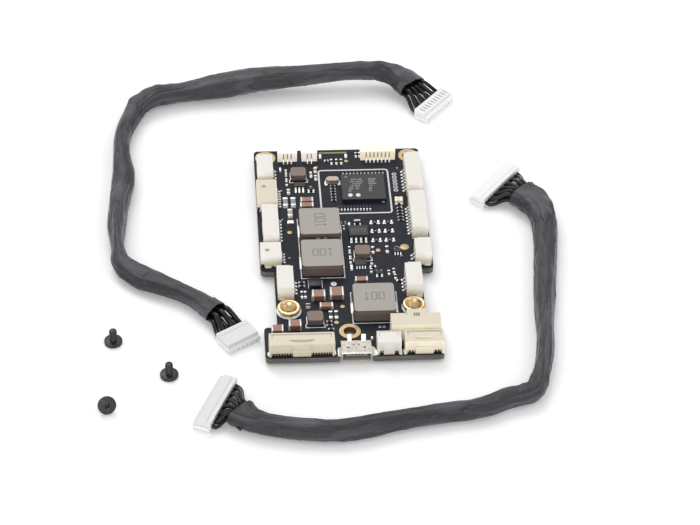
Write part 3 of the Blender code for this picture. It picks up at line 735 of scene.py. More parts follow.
def make_cables():
    for key, route, bare, seed, radii in (("a", ROUTE_A, (5.6, 5.6), 1.7, (0.5, 0.68)),
                                          ("b", ROUTE_B, (5.4, 4.8), 5.3, (0.5, 0.5))):
        tube, centres, length, mouths = sleeve(key, route, *bare, seed)
        body, extras = "cable_" + key, []
        for n, (mouth, flip, radius) in enumerate(zip(mouths, (1, -1), radii)):
            end = "%s%d" % (key, n + 1)
            plug = "plug_" + end
            extras.append(wires("wires_" + end, body, plug, mouth, flip, radius))
            # the second plug of each cable gets the darker copy of the plug nylon: painted shade
            dress(plug, SHADED_PLUG if n else PLUG, 0.12, drop=False)
            extras += plug_details(plug, body) + [NODES[plug]]


# ------------------------------------------------------------------ headers

# name: (x, y, length, quarter turns of the mating face, look, contacts, pitch)
TALL_HEADERS = {
    "header_left_1": (-18.95, 29.8, 7.0, -1, WHITE, 3, 1.3),
    "header_left_3": (-18.45, 7.35, 12.0, -1, WHITE, 7, 1.25),
    "header_left_5": (-15.7, -14.45, 8.25, -1, WHITE, 4, 1.3),
    "header_right_1": (19.05, 26.55, 13.25, 1, WHITE, 7, 1.3),
    "header_right_2": (19.05, 10.4, 14.4, 1, WHITE, 9, 1.2),
    "header_right_3": (19.05, -3.85, 5.75, 1, WHITE, 2, 1.3),
    "header_right_4": (15.95, -14.3, 8.25, 1, WHITE, 4, 1.25),
    "header_front_1": (-12.8, -37.0, 15.75, 0, CREAM, 9, 1.25),
    "header_front_2": (8.1, -37.0, 5.75, 0, WHITE, 2, 1.3),
    "header_front_3": (16.6, -37.0, 9.4, 0, CREAM, 5, 1.25),
}
LEAD_SHIFT = {"header_right_1": -0.55, "header_right_2": -0.35}   # along the row
# name: (x, y, length, depth, quarter turns, look, contacts), all at a pitch of one
LOW_HEADERS = {
    "header_left_2": (-18.85, 19.9, 9.0, 5.2, -1, CREAM, 7),
    "header_left_4": (-18.8, -3.2, 6.0, 5.2, -1, WHITE, 4),
    "header_far_1": (-12.9, 37.15, 5.0, 4.25, 2, WHITE, 3),
    "header_far_2": (-7.2, 37.15, 4.0, 4.25, 2, WHITE, 2),
    "header_far_3": (10.6, 37.15, 9.0, 4.25, 2, CREAM, 7),
}
LATCH = 2.15                  # half width of the block under a tall header's latch
# lead's width, reach and rise, then the solder it lands on: place, half size, extra length, height, taper
TALL_CONTACT = ((0.34, 0.78, 0.6), 0.62, 0.25, 0.12, 0.12, 0.07)
LOW_CONTACT = ((0.3, 0.9, 0.75), 0.66, 0.2, 0.18, 0.13, 0.06)


class Axes:
    """A header's own axes: u along its row, v towards its back."""

    def __init__(self, x, y, quarter):
        a = radians(quarter * 90)
        self.at = Vector((x, y))
        self.out = Vector((round(sin(a)), -round(cos(a))))
        self.row = Vector((round(cos(a)), round(sin(a))))

    def point(self, u, v):
        return self.at + self.row * u - self.out * v

    def box(self, parts, u0, u1, v0, v1, low, high, edge=0.04):
        a, b = self.point(u0, v0), self.point(u1, v1)
        parts.slab(a.x, b.x, a.y, b.y, low, high, edge)

    def contact(self, leads, pads, u, back, shape):
        """A gull-wing lead out of the back and its solder."""
        lead, away, half, extra, high, taper = shape
        p, q = self.point(u, back), self.point(u, back + away)
        leads.lead(p.x, p.y, -self.out.x, -self.out.y, *lead)
        wide, deep = (half + extra * abs(c) for c in self.out)
        pads.pad(q.x, q.y, wide, deep, -0.02, high, taper=taper)


def make_tall_headers():
    leads, pads = Parts("tall_header_leads", TIN), Parts("tall_header_solder", TIN)
    nails = Parts("header_solder_nails", TIN)
    for name, (x, y, length, quarter, look, contacts, pitch) in TALL_HEADERS.items():
        # the side headers and header_front_3 get the lighter, glowing copy of the nylon on their sides, and
        # front_3 on its ribs too: painted light
        flank = LIT_WHITE if quarter else LIT_CREAM if name == "header_front_3" else None
        dress(name, look, 0.09, side=flank)
        axes = Axes(x, y, quarter)
        half, d = length / 2, 2.0 if quarter else 2.125
        teeth = Parts(name + "_ribs", flank if name == "header_front_3" else look)
        dark = Parts(name + "_cavity", CAVITY_SHADE)
        block = min(LATCH, half - 1.6)
        span = half - 0.55 - block
        n = max(1, round(span / 0.62))
        for s in (-1, 1):                                  # comb of ribs in the low slots
            for k in range(n):
                u = s * (block + (k + 0.5) * span / n)
                axes.box(teeth, u - 0.13, u + 0.13, -d + 0.62, -d + 1.6, 0.02, 0.30, 0.03)
        # a near-black box at the back of the low slots: painted shade
        axes.box(dark, -half + 0.7, half - 0.7, -d + 1.9, -d + 2.6, 0.03, 0.7, 0.02)
        if block > 1.2:
            for u in (-0.85, 0.0, 0.85):                   # ribs on the latch block
                axes.box(teeth, u - 0.11, u + 0.11, -d - 0.06, -d + 0.1, 1.35, 2.9, 0.05)
        axes.box(teeth, -block + 0.1, block - 0.1, -d - 0.05, -d + 0.1, 0.95, 1.12)
        for k in range(contacts):
            u = (k - (contacts - 1) / 2) * pitch + LEAD_SHIFT.get(name, 0)
            axes.contact(leads, pads, u, d, TALL_CONTACT)
        for s in (-1, 1):                                  # hold-down nails at both ends
            axes.box(nails, s * (half - 0.05), s * (half + 0.32), -d + 0.35, -d + 1.6, -0.01, 0.34, 0.08)
        done(teeth, dark)
    done(leads, pads, nails)


def make_low_headers():
    leads, pads = Parts("low_header_leads", TIN), Parts("low_header_solder", TIN)
    stripes = Parts("low_header_slots", SLOT_SHADE)
    for name, (x, y, length, depth, quarter, look, contacts) in LOW_HEADERS.items():
        # sides in the lighter, glowing copy of the nylon; the far headers are wholly in the strongly glowing
        # copy: painted light
        flank = ((LIT_WHITE, LIT_CREAM) if quarter < 0 else (FAR_WHITE_GLOW, FAR_CREAM_GLOW))[look == CREAM]
        dress(name, look if quarter < 0 else flank, 0.07, side=flank)
        axes = Axes(x, y, quarter)
        half, d = length / 2, depth / 2
        tongue, pins = Parts(name + "_tongue", look), Parts(name + "_pins", TIN)
        axes.box(tongue, -half + 0.8, half - 0.8, -d + 0.7, -d + 2.7, 1.2, 1.75, 0.06)
        axes.box(tongue, -half + 0.2, half - 0.2, d - 1.05, d - 0.85, 2.9, 3.0)
        for k in range(contacts):
            u = k - (contacts - 1) / 2
            axes.contact(leads, pads, u, d, LOW_CONTACT)
            # tan strips in the contact slots: painted shade
            axes.box(stripes, u - 0.19, u + 0.19, d - 0.24, d - 0.12, 0.2, 2.6, 0.02)
            axes.box(pins, u - 0.12, u + 0.12, -d + 0.6, -d + 2.7, 1.76, 1.86, 0.02)
        done(tongue, pins)
    done(leads, pads, stripes)
    shadow = ceramic_look("moulded_shadow", (0.40, 0.35, 0.28), (0.31, 0.27, 0.21))
    marks = Parts("header_top_marks", shadow)
    for x, y in ((-19.6, 21.7), (-19.7, -3.2)):
        marks.pad(x, y, 0.5, 0.48, 2.9, 2.985, 0.005)
    marks.done()


def reach(node):
    places = [v.co / MM for v in NODES[node].data.vertices]
    return [Vector([pick(p[k] for p in places) for k in range(3)]) for pick in (min, max)]


def make_header_feet():
    """Dark slabs of painted shade on the near ends of the side headers, where they are open underneath, and
    the solder that shows there.
    """
    dark, solder = Parts("header_end_gaps", CAVITY_SHADE), Parts("header_end_solder", TIN)
    # dark slabs on the near faces: painted shade
    for x0, x1, y, high in ((-21.4, -20.8, 15.4, 1.3), (-21.35, -20.5, -6.2, 0.9), (-18.5, -18.1, -6.2, 0.4),
                            (20.1, 20.95, 3.2, 0.5), (15.6, 16.9, -18.43, 0.3), (-21.0, -20.6, 1.35, 0.5)):
        dark.slab(x0, x1, y - 0.05, y + 0.12, 0.02, high, 0.02)
    for x0, x1, y in ((-20.3, -18.8, -6.5), (19.3, 20.9, -6.95), (17.0, 17.8, -18.7), (-21.0, -20.6, 15.2)):
        solder.slab(x0, x1, y - 0.2, y + 0.2, -0.02, 0.26, 0.08, 0.06)
    for name in ("header_front_2", "header_front_3"):      # fillets at the front corners
        low, high = reach(name)
        front = max(low.y, 0.4 - EDGE)
        for x in (low.x, high.x):
            solder.slab(x - 0.3, x + 0.3, front - 0.2, front + 0.5, -0.02, 0.42, 0.12, 0.1)
    done(dark, solder)


def make_front_lines():
    """Moulded frame on the tops of the front headers and the outline of their latch blocks: darker lines of
    painted shade in the frame and under the blocks' tops, lighter lines of painted highlight along the back
    edges and the blocks' edges.
    """
    rim, grey, highlight_lines = (Parts("front_header_" + part, nylon_look(name, *tones)) for part, name, tones in (
        ("frames", "frame_nylon_painted_shade", ((0.46, 0.41, 0.31), (0.46, 0.39, 0.27), (0.44, 0.38, 0.28))),
        ("groove", "groove_nylon_painted_shade", ((0.56, 0.54, 0.50), (0.5, 0.47, 0.4), (0.54, 0.51, 0.46))),
        ("rims", "rim_nylon_painted_highlight", ((0.84, 0.78, 0.66), (0.80, 0.72, 0.55), (0.82, 0.75, 0.62)))))
    for name, inset, block in (("header_front_1", 0.8, LATCH), ("header_front_3", 0.8, LATCH),
                               ("header_front_2", 0.6, 0)):
        low, high = reach(name)
        top, middle = high.z - DROP, (low.x + high.x) / 2
        left, right, back = low.x + inset, high.x - inset, high.y - inset
        frame_line = [(left, high.y - 1.9), (left, back), (right, back), (right, high.y - 1.9)]
        # darker frame line: painted shade
        (rim if block else grey).ribbon(frame_line, 0.24, top - 0.02, top + 0.015)
        if block:
            # lighter strip along the back edge of the top: painted highlight
            highlight_lines.box(low.x + 0.2, high.x - 0.2, high.y - 0.42, high.y - 0.15, top - 0.02, top + 0.07, 0.03)
            for u in (-block, -0.75, 0.75, block):
                # lighter lines at the latch block's edges: painted highlight
                highlight_lines.slab(middle + u - 0.07, middle + u + 0.07, low.y - 0.04, low.y + 0.1, 0.4, 2.3, 0.02)
            # darker line under the latch block's top: painted shade
            rim.slab(middle - block, middle + block, low.y - 0.03, low.y + 0.1, 2.3, 2.42, 0.02)
    done(rim, grey, highlight_lines, smooth=False)


def make_rear_header():
    """The upright housing behind the front row: latch tab, seam lines and its key slots, drawn as dark pads
    of painted shade; its sides and seam rib take the lighter, glowing copy of the nylon, painted light.
    """
    dress("header_rear", CREAM, 0.08, side=LIT_CREAM)
    x, y = 14.9, -32.2
    ribs, dark = Parts("header_rear_ribs", LIT_CREAM), Parts("header_rear_keys", CAVITY_SHADE)
    # dark pads for the key slots: painted shade
    for v in (1.9, 1.25):
        for u in (-0.25, 0.3, 0.85):
            dark.pad(x + u, y + v, 0.23, 0.18, 4.8, 5.135, 0)
    ribs.slab(x - 5.8, x + 5.8, y - 2.17, y - 2.05, 1.6, 1.85)
    done(ribs, dark)


# ------------------------------------------------------------------ socket, inserts, holes, screws

def make_usb():
    """Tinned shell with its folded seam, stamped slots, flared lip, contacts and soldered feet; the slots and
    the gaps in the lip are dark pads of painted shade, the lip is drawn in bright tin as painted light, and
    the shell darkens below the board's face as painted shade.
    """
    # the shell's steel darkens below the board's face: painted shade
    shell = dress("usb_shell", STEEL, 0.10, drop=False)
    shell.data.materials.append(TIN)
    for face in shell.data.polygons:                       # the two folded tabs at the back are bright
        if face.center.z > (TOP + 1.3) * MM:
            face.material_index = 1
    tongue = ceramic_look("socket_tongue", (0.28, 0.26, 0.22), (0.20, 0.185, 0.16))
    dress("usb_tongue", tongue, 0.04, drop=False)
    x, front = 0.3, -EDGE - 0.1
    trim, dark, feet = Parts("usb_trim", STEEL), Parts("usb_slots", CAVITY_SHADE), Parts("usb_feet_solder", TIN)
    for s in (-1, 1):
        # dark pads for the stamped slots: painted shade
        dark.pad(x + s * 1.95, front + 2.05, 0.28, 0.3, 1.2, 1.262, 0.02)
        trim.pad(x + s * 1.95, front + 1.35, 0.2, 0.45, 1.23, 1.35)
        feet.pad(x + s * 4.15 + 0.05, front + 1.65, 0.5, 1.35, -0.02, 0.35, 0.12, 0.12)
        dark.pad(x + s * 0.62, front + 3.1, 0.2, 0.2, 1.2, 1.262, 0.02)
    # the lip in bright tin, lighter than the shell's steel: painted light
    lip = Parts("usb_lip", TIN)
    lip.slab(x - 3.55, x + 3.55, front - 0.14, front + 0.10, 1.18, 1.41, 0.07)
    lip.done()
    trim.pad(x, front + 2.4, 0.06, 2.2, 1.22, 1.28, 0.015)
    for u in (-2.85, -1.15, -0.35, 0.5, 1.3, 2.7):         # teeth of the flared lip
        # dark gaps between the lip's teeth: painted shade
        dark.pad(x + u, front - 0.05, 0.2, 0.11, 0.83, 1.13, 0.02)
    done(trim, dark, feet)
    # five small gold-green stripes low on the board's front edge under the socket
    strip = Parts("usb_front_pads", ceramic_look("gold_green_stripe", (0.42, 0.40, 0.22), (0.28, 0.27, 0.14)))
    for k in range(5):
        strip.pad(x - 2.5 + 1.15 * k, front + 0.035, 0.26, 0.065, -1.16, -0.94, 0.01)
    strip.done()


def make_inserts():
    """Turned brass nuts: flange, stepped collar, threaded bore, and a fillet of solder."""
    profile = [(2.48, 0.02), (2.48, 0.55), (2.70, 0.62), (2.82, 0.72), (2.86, 0.88), (2.84, 1.14),
               (2.74, 1.30), (2.58, 1.385), (2.32, 1.40), (2.10, 1.36), (1.92, 1.22), (1.74, 1.0)]
    for k in range(9):                                     # rings of the thread, from the top down
        crest = 0.75 - 0.25 * k
        profile += [(1.62, crest), (1.50, crest - 0.12)]
    profile += [(1.50, -1.55), (1.58, -1.55), (1.58, 0.02)]
    fillet = [(2.44, -0.02), (3.1, -0.02), (3.0, 0.07), (2.7, 0.2), (2.44, 0.26)]
    for side, x, y in (("left", -15.2, -22.6), ("right", 15.4, -22.4)):
        nut = Parts("insert_%s_turned" % side, BRASS)
        nut.lathe([(r, TOP + h) for r, h in profile], x, y, 72, closed=True)
        nut.done(replaces=("brass_insert_" + side,))
        ring = Parts("insert_%s_solder" % side, TIN)
        ring.lathe([(r, TOP + h) for r, h in fillet], x, y, 64, closed=True)
        ring.done()


def make_holes():
    """Plated lands and barrels of the three screw holes, and the small gold test pads."""
    gold = Parts("plated_hole_lands", GOLD)
    barrel = Parts("plated_hole_barrels",
                   metal_look("shaded_barrel", (0.16, 0.10, 0.07), (0.09, 0.055, 0.04), metal=0.6))
    for x, y in ((-18.6, 36.6), (18.7, 36.6), (-0.8, -30.6)):
        gold.ring(x, y, 1.57, 2.62, TOP - 0.01, TOP + 0.13, 64)
        barrel.ring(x, y, 1.53, 1.59, TOP - 1.72, TOP - 0.15, 64)
        gold.ring(x, y, 1.57, 2.62, TOP - 1.73, TOP - 1.59, 64)
    for x, y, r in ((14.9, 0.2, 1.1), (8.2, -0.8, 0.6), (-13.6, 6.8, 0.6), (2.4, 34.9, 0.5),
                    (-5.6, 32.6, 0.45), (-2.0, -21.5, 0.55), (-3.8, -27.2, 0.55)):
        gold.lathe([(r, TOP - 0.01), (r, TOP + 0.03), (r - 0.06, TOP + 0.05)], x, y, 36)
    done(gold, barrel)


def screw_place(name):
    """Where a screw lies; its own axes are millimetres, with the head on the table and the shank up."""
    if name != "screw_3":
        return Matrix.Translation((-57.9, -29.6, 0) if name == "screw_1" else (-44.6, -41.8, 0))
    turn, fall = radians(13.8), radians(23.53)             # this one has rolled onto its side
    height = 2.2 * cos(fall) + 0.8 * sin(fall)
    return (Matrix.Translation((-59.2, -53.9, height)) @ Matrix.Rotation(turn, 4, "Z")
            @ Matrix.Rotation(-pi / 2 - fall, 4, "X"))


def make_screws():
    """Flat-headed machine screws: rounded rim, cross recess, rolled helical thread, pointed end."""
    sides, pitch, steps = 56, 0.42, 76
    neck, point, tip = 0.95, 3.98, 4.05                    # the thread's start, the cone's, the thread's end
    head = [(2.0, 0.0), (2.12, 0.04), (2.19, 0.14), (2.2, 0.3), (2.2, 0.72), (2.16, 0.84), (2.06, 0.9),
            (1.1, 0.9), (0.92, 0.93)]
    for name in ("screw_1", "screw_2", "screw_3"):
        bm = bmesh.new()
        rows = turned(bm, head, sides)
        for k in range(1, steps + 1):
            z = neck + 3.14 * k / steps
            fade = min(1.0, (z - neck) / 0.3) * min(1.0, max(0.0, (tip - z) / 0.35))
            cone = 0.25 * max(0.0, z - point) / 0.12
            ring = []
            for i in range(sides):
                tooth = 1 - abs((z / pitch - i / sides) % 1.0 * 2 - 1)
                r = 0.80 + 0.145 * fade * min(1.0, tooth * 1.35) - cone
                ring.append(bm.verts.new((r * cos(2 * pi * i / sides), r * sin(2 * pi * i / sides), z)))
            rows.append(ring)
        skin(bm, rows)
        place = Matrix.Scale(MM, 4) @ screw_place(name)
        obj = piece(name + "_turned", bm, SCREW, name, replaces=(name,), place=place)
        cutter = bmesh.new()
        for k, turn in enumerate((45, 135)):               # the arms differ a little, so no faces coincide
            arm = bmesh.ops.create_cube(cutter, size=1.0)["verts"]
            bmesh.ops.scale(cutter, vec=(1.9, 0.36 + 0.012 * k, 1.1 + 0.01 * k), verts=arm)
            for v in arm:
                if v.co.z > 0:
                    v.co.x *= 0.55
            bmesh.ops.rotate(cutter, verts=arm, cent=(0, 0, 0), matrix=Matrix.Rotation(radians(turn), 3, "Z"))
        bmesh.ops.transform(cutter, matrix=place, verts=cutter.verts)
        mesh = bpy.data.meshes.new(name + "_recess")
        cutter.to_mesh(mesh)
        cutter.free()
        tool = bpy.data.objects.new(name + "_recess", mesh)
        bpy.context.scene.collection.objects.link(tool)
        tool.hide_render = tool.hide_viewport = True
        mod = obj.modifiers.new("recess", "BOOLEAN")
        mod.operation, mod.solver, mod.object = "DIFFERENCE", "EXACT", tool
        mod.use_self = True
        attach(tool, name)


# ------------------------------------------------------------------ chips and passives

def digits(parts, text, x, y, z, size, turn, pen):
    """Noughts and ones as even strokes, centred at x, y."""
    spin = Matrix.Rotation(radians(turn), 2)
    w, h, c = size * 0.25, size / 2, size * 0.10
    nought = [(c - w, -h), (w - c, -h), (w, c - h), (w, h - c),
              (w - c, h), (c - w, h), (-w, h - c), (-w, c - h)]
    one, foot = [(-w * 0.7, h * 0.6), (0, h), (0, -h)], [(-w * 0.8, -h), (w * 0.8, -h)]
    for i, figure in enumerate(text):
        cx = (i - (len(text) - 1) / 2) * size * 0.72
        for line in ([nought] if figure == "0" else [one, foot]):
            pts = [spin @ Vector((cx + a, b)) + Vector((x, y)) for a, b in line]
            parts.ribbon(pts, pen, z, z + 0.022, line is nought)


SMALL_COILS = ((-10.4, 28.9), (4.1, -2.4), (-9.0, -26.5))


def make_inductors():
    marks = Parts("inductor_numerals", ENGRAVED)
    # lighter bands along the coils' sides: painted highlight
    highlight_bands = Parts("inductor_painted_highlight_bands",
                  ferrite_look("ferrite_painted_highlight", (0.20, 0.145, 0.12), (0.13, 0.09, 0.075)))
    clips = Parts("inductor_terminals", TIN)
    # each coil's centre, then the place and turn of its numerals
    for n, (x, y, u, v, turn) in enumerate(((-6.1, 7.0, 0.1, 0.3, 90), (-6.2, -5.2, 0.2, 0.1, 180),
                                            (5.6, -22.1, 0.0, 0.3, 0))):
        # the sides get the darker copy of the ferrite: painted shade
        dress("power_inductor_%d" % (n + 1), FERRITE_TOP, 0.16, side=FERRITE_SIDE_SHADE, segments=3)
        digits(marks, "100", x + u, y + v, TOP + 3.51, 2.5, turn, 0.25)      # just proud of the let-down top
        for s in (-1, 1):
            # lighter band along each side of the power coil: painted highlight
            highlight_bands.pad(x, y + s * 5.095, 4.3, 0.045, 2.35, 3.05, 0.04)
            end = x + s * 5.0
            clips.slab(end - 0.35, end + (0.55 if s > 0 else 0.1), y - 1.6, y + 1.6, 0, 0.5, 0.08)
    for x in (-6.7, -5.0):
        clips.slab(x - 0.5, x + 0.5, 1.76, 1.93, 1.75, 2.15, 0.06)
    for n, (x, y) in enumerate(SMALL_COILS):
        # the sides get the darker copy of the ferrite: painted shade
        dress("small_inductor_%d" % (n + 1), BROWN_TOP, 0.10, side=FERRITE_SIDE_SHADE)
        for s in (-1, 1):
            clips.pad(x + s * 1.66, y, 0.46, 1.4, 0, 0.3)
        # lighter line along the near top edge of the small coil: painted highlight
        highlight_bands.slab(x - 1.5, x + 1.5, y - 1.84, y - 1.78, 0.95, 1.2, 0.03)
    marks.done(smooth=False)
    done(highlight_bands, clips)


def make_capacitors():
    ends = Parts("capacitor_ends", CAP_TIN)
    for name in sorted(n for n in NODES if n.startswith("capacitor_")):
        # sides in the darker copy of the ceramic: painted shade
        dress(name, CERAMIC, 0.12, side=CERAMIC_SIDE_SHADE)
        low, high = (Vector(v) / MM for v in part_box(name))
        cap = (high.x - low.x) * 0.13
        for s, x in ((-1, low.x), (1, high.x)):
            ends.box(x + s * 0.03, x - s * cap, low.y - 0.04, high.y + 0.04, TOP, high.z - DROP + 0.04, 0.14)
            ends.slab(x, x + s * 0.14, low.y + 0.15, high.y - 0.15, -0.02, 0.25, 0.1, 0.08)
    ends.done()


def make_chips():
    # the processor's sides in the darker copy of the moulding: painted shade
    dress("processor", EPOXY, 0.05, side=EPOXY_SIDE_SHADE)
    dress("bus_transceiver", EPOXY, 0.09)
    dress("gate_chip", EPOXY, 0.07)
    for name in ("driver_chip_centre", "driver_chip_left", "driver_chip_right",
                 "power_switch_left", "power_switch_right"):
        dress(name, EPOXY, 0.05, drop=False)
    dress("resonator", LID, 0.06)
    dress("status_led", RESIN, 0.1)
    leads, pins = Parts("chip_leads", TIN), Parts("chip_edge_pads", TIN)
    faint = Parts("chip_laser_marks", FAINT)
    for x in (1.7, 2.9, 4.15, 5.4):
        leads.lead(x, 3.55, 0, -1, 0.5, 1.1, 0.5)
        leads.pad(x, 2.55, 0.33, 0.45, -0.02, 0.16, 0.06, 0.08)
        leads.lead(x, 7.35, 0, 1, 0.5, 1.0, 0.5)
    for x in (-11.3, -10.4, -9.4):
        leads.lead(x, 23.95, 0, -1, 0.46, 1.3, 0.4)
        leads.pad(x, 22.85, 0.28, 0.55, -0.02, 0.16, 0.07, 0.08)
    top = TOP + 1.22                                       # the processor's face
    for y, runs in ((25.6, ((3.6, 5.0), (5.3, 6.4), (8.0, 10.0))),
                    (24.7, ((3.4, 4.3), (4.6, 6.6), (8.1, 9.7))), (23.8, ((3.9, 6.2), (8.0, 10.1))),
                    (22.9, ((3.3, 4.2), (4.5, 5.9), (8.2, 9.2))),
                    (21.9, ((2.9, 4.0), (4.6, 5.6), (8.0, 8.9))), (21.0, ((2.7, 3.6), (8.0, 8.8)))):
        for x0, x1 in runs:                                # rows of ticks that stand for small print
            cells = max(2, round((x1 - x0) / 0.42))
            for c in range(cells):
                a = x0 + (x1 - x0) * c / cells
                tick = [(a - 0.55, y - 0.1), (a - 0.42, y + 0.5), (a - 0.24, y + 0.12)]
                faint.ribbon(tick, 0.16, top - 0.02, top + 0.008)
    faint.ring(1.75, 26.9, 0.22, 0.36, top, top + 0.012, 24)
    for x in (2.0, 2.8, 3.6, 4.4, 5.2):
        for line in ([(x - 0.25, 5.9), (x + 0.1, 5.9), (x + 0.1, 5.3), (x - 0.2, 5.2)],
                     [(x - 0.25, 4.8), (x + 0.2, 4.6)]):
            faint.ribbon(line, 0.08, TOP + 1.46, TOP + 1.475)
    # two white spots on the processor's face: painted highlights
    glint = Parts("processor_painted_glints", SILK)
    for x, y in ((2.5, 19.55), (4.5, 19.5)):
        glint.lathe([(0.62, top - 0.01), (0.60, top + 0.02), (0.45, top + 0.04)], x, y, 32, squash=1.1)
    # a pale bluish streak at the processor's near right corner: painted highlight
    corner_glint = Parts("processor_corner_painted_glint",
                 ceramic_look("bluish_painted_glint", (0.52, 0.58, 0.68), (0.38, 0.43, 0.52)))
    corner_glint.ribbon([(10.5, 17.95), (11.05, 17.9), (11.3, 18.5)], 0.32, TOP - 0.01, TOP + 0.22)
    corner_glint.done()
    for x in (14.1, 15.5):                                 # the lamp's feet and lens
        pins.slab(x - 0.32, x + 0.32, 16.6, 17.5, -0.02, 0.3, 0.08, 0.05)
        pins.slab(x - 0.32, x + 0.32, 18.7, 19.3, -0.02, 0.3, 0.08, 0.05)
    for x in (14.15, 15.4):
        for y in (17.6, 18.6):
            pins.pad(x, y, 0.3, 0.26, 0.8, 0.95)
    for x in (-3.35, -0.05):                               # the resonator's feet
        pins.slab(x - 0.42, x + 0.42, 24.9, 26.6, -0.02, 0.35, 0.08, 0.04)
    done(leads, pins)
    faint.done(smooth=False)
    glint.done()


# where the two-ended parts lie, by length, width, height, axis and kind; the kinds are r black, c brown,
# b beige, g grey, t all tin, q black with dull ends, s black with one dull end that is painted shade and d
# low with bells of solder
SMALL_PARTS = {
    (1.5, 0.40, 0.42, "y", "s"): [(-0.8 + 0.81 * i, 15.55) for i in range(11)],
    (1.3, 0.38, 0.42, "y", "s"): [(1.2 + 0.94 * i, 29.75) for i in range(12)],
    (1.25, 0.42, 0.38, "x", "q"): [(-1.75, 24.6 - 1.15 * i) for i in range(6)],
    (2.55, 1.05, 0.5, "x", "d"): [(x, y) for x in (8.05, 11.4) for y in (9.8, 6.4, 2.85)],
    (1.4, 0.42, 0.3, "x", "q"): [(14.8, y) for y in (15.3, 14.1, 12.9, 11.7, 10.5)],
    (1.9, 0.62, 0.45, "y", "r"): [(x, 34.4) for x in (-1.5, -0.2, 1.05)],
    (0.9, 0.6, 0.4, "x", "r"): [(-2.75, 35.0)],
    (1.2, 0.7, 0.4, "y", "t"): [(-4.3, 36.8), (2.4, 36.8)],
    (1.7, 0.55, 0.4, "y", "r"): [(5.0, 37.1), (5.9, 37.1)],
    (1.6, 0.6, 0.4, "y", "b"): [(-13.5, 30.6)],
    (1.6, 0.6, 0.4, "y", "r"): [(-13.5, 28.2), (-13.5, 26.0)],
    (1.7, 0.85, 0.5, "y", "b"): [(-13.2, 22.6)],
    (1.2, 0.5, 0.4, "y", "t"): [(-14.9, 31.7)],
    (1.7, 0.8, 0.45, "y", "c"): [(-5.9, 31.1), (-5.9, 28.0)],
    (2.0, 0.7, 0.45, "y", "b"): [(-7.1, 29.3)],
    (2.6, 1.25, 0.9, "y", "b"): [(-13.2, 13.7)],
    (1.4, 1.2, 0.4, "x", "t"): [(-13.2, 10.6)],
    (3.2, 1.25, 0.9, "y", "g"): [(-14.2, 18.0), (-12.2, 18.0)],
    (1.7, 0.65, 0.42, "y", "r"): [(1.0, -0.4), (1.0, -2.7), (1.0, -4.9)],
    (1.7, 0.65, 0.42, "y", "t"): [(1.1, -7.4)],
    (2.4, 0.7, 0.42, "y", "r"): [(6.85, -0.9)],
    (2.3, 0.8, 0.45, "y", "r"): [(10.4, -0.8)],
    (1.4, 0.7, 0.42, "y", "r"): [(6.2, -5.6), (5.9, -8.7)],
    (1.4, 0.7, 0.42, "x", "r"): [(6.4, -7.2)],
    (1.5, 0.65, 0.42, "y", "r"): [(10.2, -9.6), (11.7, -11.2)],
    (1.6, 0.65, 0.42, "y", "r"): [(11.5, -9.0)],
    (1.3, 0.6, 0.42, "x", "r"): [(12.6, -12.6)],
    (2.3, 0.62, 0.45, "y", "r"): [(-11.75, -17.1), (-10.9, -17.1)],
    (1.5, 0.6, 0.42, "x", "q"): [(-11.6, -12.6), (-11.6, -13.9)],
    (2.5, 0.9, 0.42, "y", "r"): [(-5.1, -24.6), (-3.75, -24.6)],
    (1.3, 0.5, 0.42, "x", "q"): [(-5.6, -27.1), (-5.6, -28.4), (-5.3, -29.8)],
    (1.5, 1.15, 0.5, "y", "q"): [(-10.45, -21.3)],
    (0.9, 0.4, 0.36, "y", "q"): [(-0.4, 9.9), (0.6, 9.9)],
    (1.3, 0.55, 0.4, "y", "r"): [(0.1, 8.0)],
    (0.9, 0.6, 0.4, "y", "t"): [(1.55, 9.3)],
}


def two_ended(x, y, length, width, height, axis, kind, body, ends, dull):
    """One chip part: its body and its soldered ends, along either axis."""
    def span(parts, u0, u1, half, low, high, edge, taper=0.0):
        if axis == "x":
            parts.slab(x + u0, x + u1, y - half, y + half, low, high, edge, taper)
        else:
            parts.slab(x - half, x + half, y + u0, y + u1, low, high, edge, taper)

    tip, half = length / 2, width / 2
    if kind == "d":
        span(body, 0.3 - tip, tip - 0.3, width * 0.36, 0.02, 0.3, 0.05)
        span(dull, -0.16, 0.16, 0.07, 0.29, 0.33, 0.01)
        for s in (-1, 1):
            cx = x + s * (tip - 0.38)
            ends.slab(cx - 0.5, cx + 0.5, y - 0.62, y + 0.12, -0.02, 0.26, 0.14, 0.1)
            ends.slab(cx - 0.3, cx + 0.3, y - 0.4, y + 0.6, -0.02, height, 0.16, 0.08)
        return
    span(body, 0.1 - tip, tip - 0.1, half - 0.03, 0.02, height, 0.05)
    cap = length * (0.2 if kind in "gb" else 0.22)
    group = dull if kind == "q" else ends
    for s in (-1, 1):
        if kind == "s" and s > 0:                          # far ends that hardly show
            # the far ends in dull tin, painted shade: the same solder as the bright near ends
            span(dull, tip - 0.12, tip + 0.06, half - 0.06, 0, height * 0.8, 0.05)
        else:
            span(group, s * tip, s * (tip - cap), half, 0.01, height + 0.03, 0.07)
            span(group, s * (tip + 0.16), s * (tip - 0.1), half, -0.02, height * 0.5, 0.06, 0.05)


def make_small_parts():
    bodies = {"r": Parts("resistor_bodies", RESISTOR), "c": Parts("ceramic_bodies", CERAMIC),
              "b": Parts("beige_bodies", BEIGE), "t": Parts("jumper_bodies", TIN),
              "g": Parts("diode_bodies", ceramic_look("grey_glass", (0.30, 0.33, 0.37), (0.20, 0.23, 0.27)))}
    ends, dull = Parts("passive_ends", TIN), Parts("passive_ends_dull", DULL_TIN)
    for shape, places in SMALL_PARTS.items():
        for x, y in places:
            two_ended(x, y, *shape, bodies.get(shape[-1], bodies["r"]), ends, dull)
    done(*bodies.values(), ends, dull)


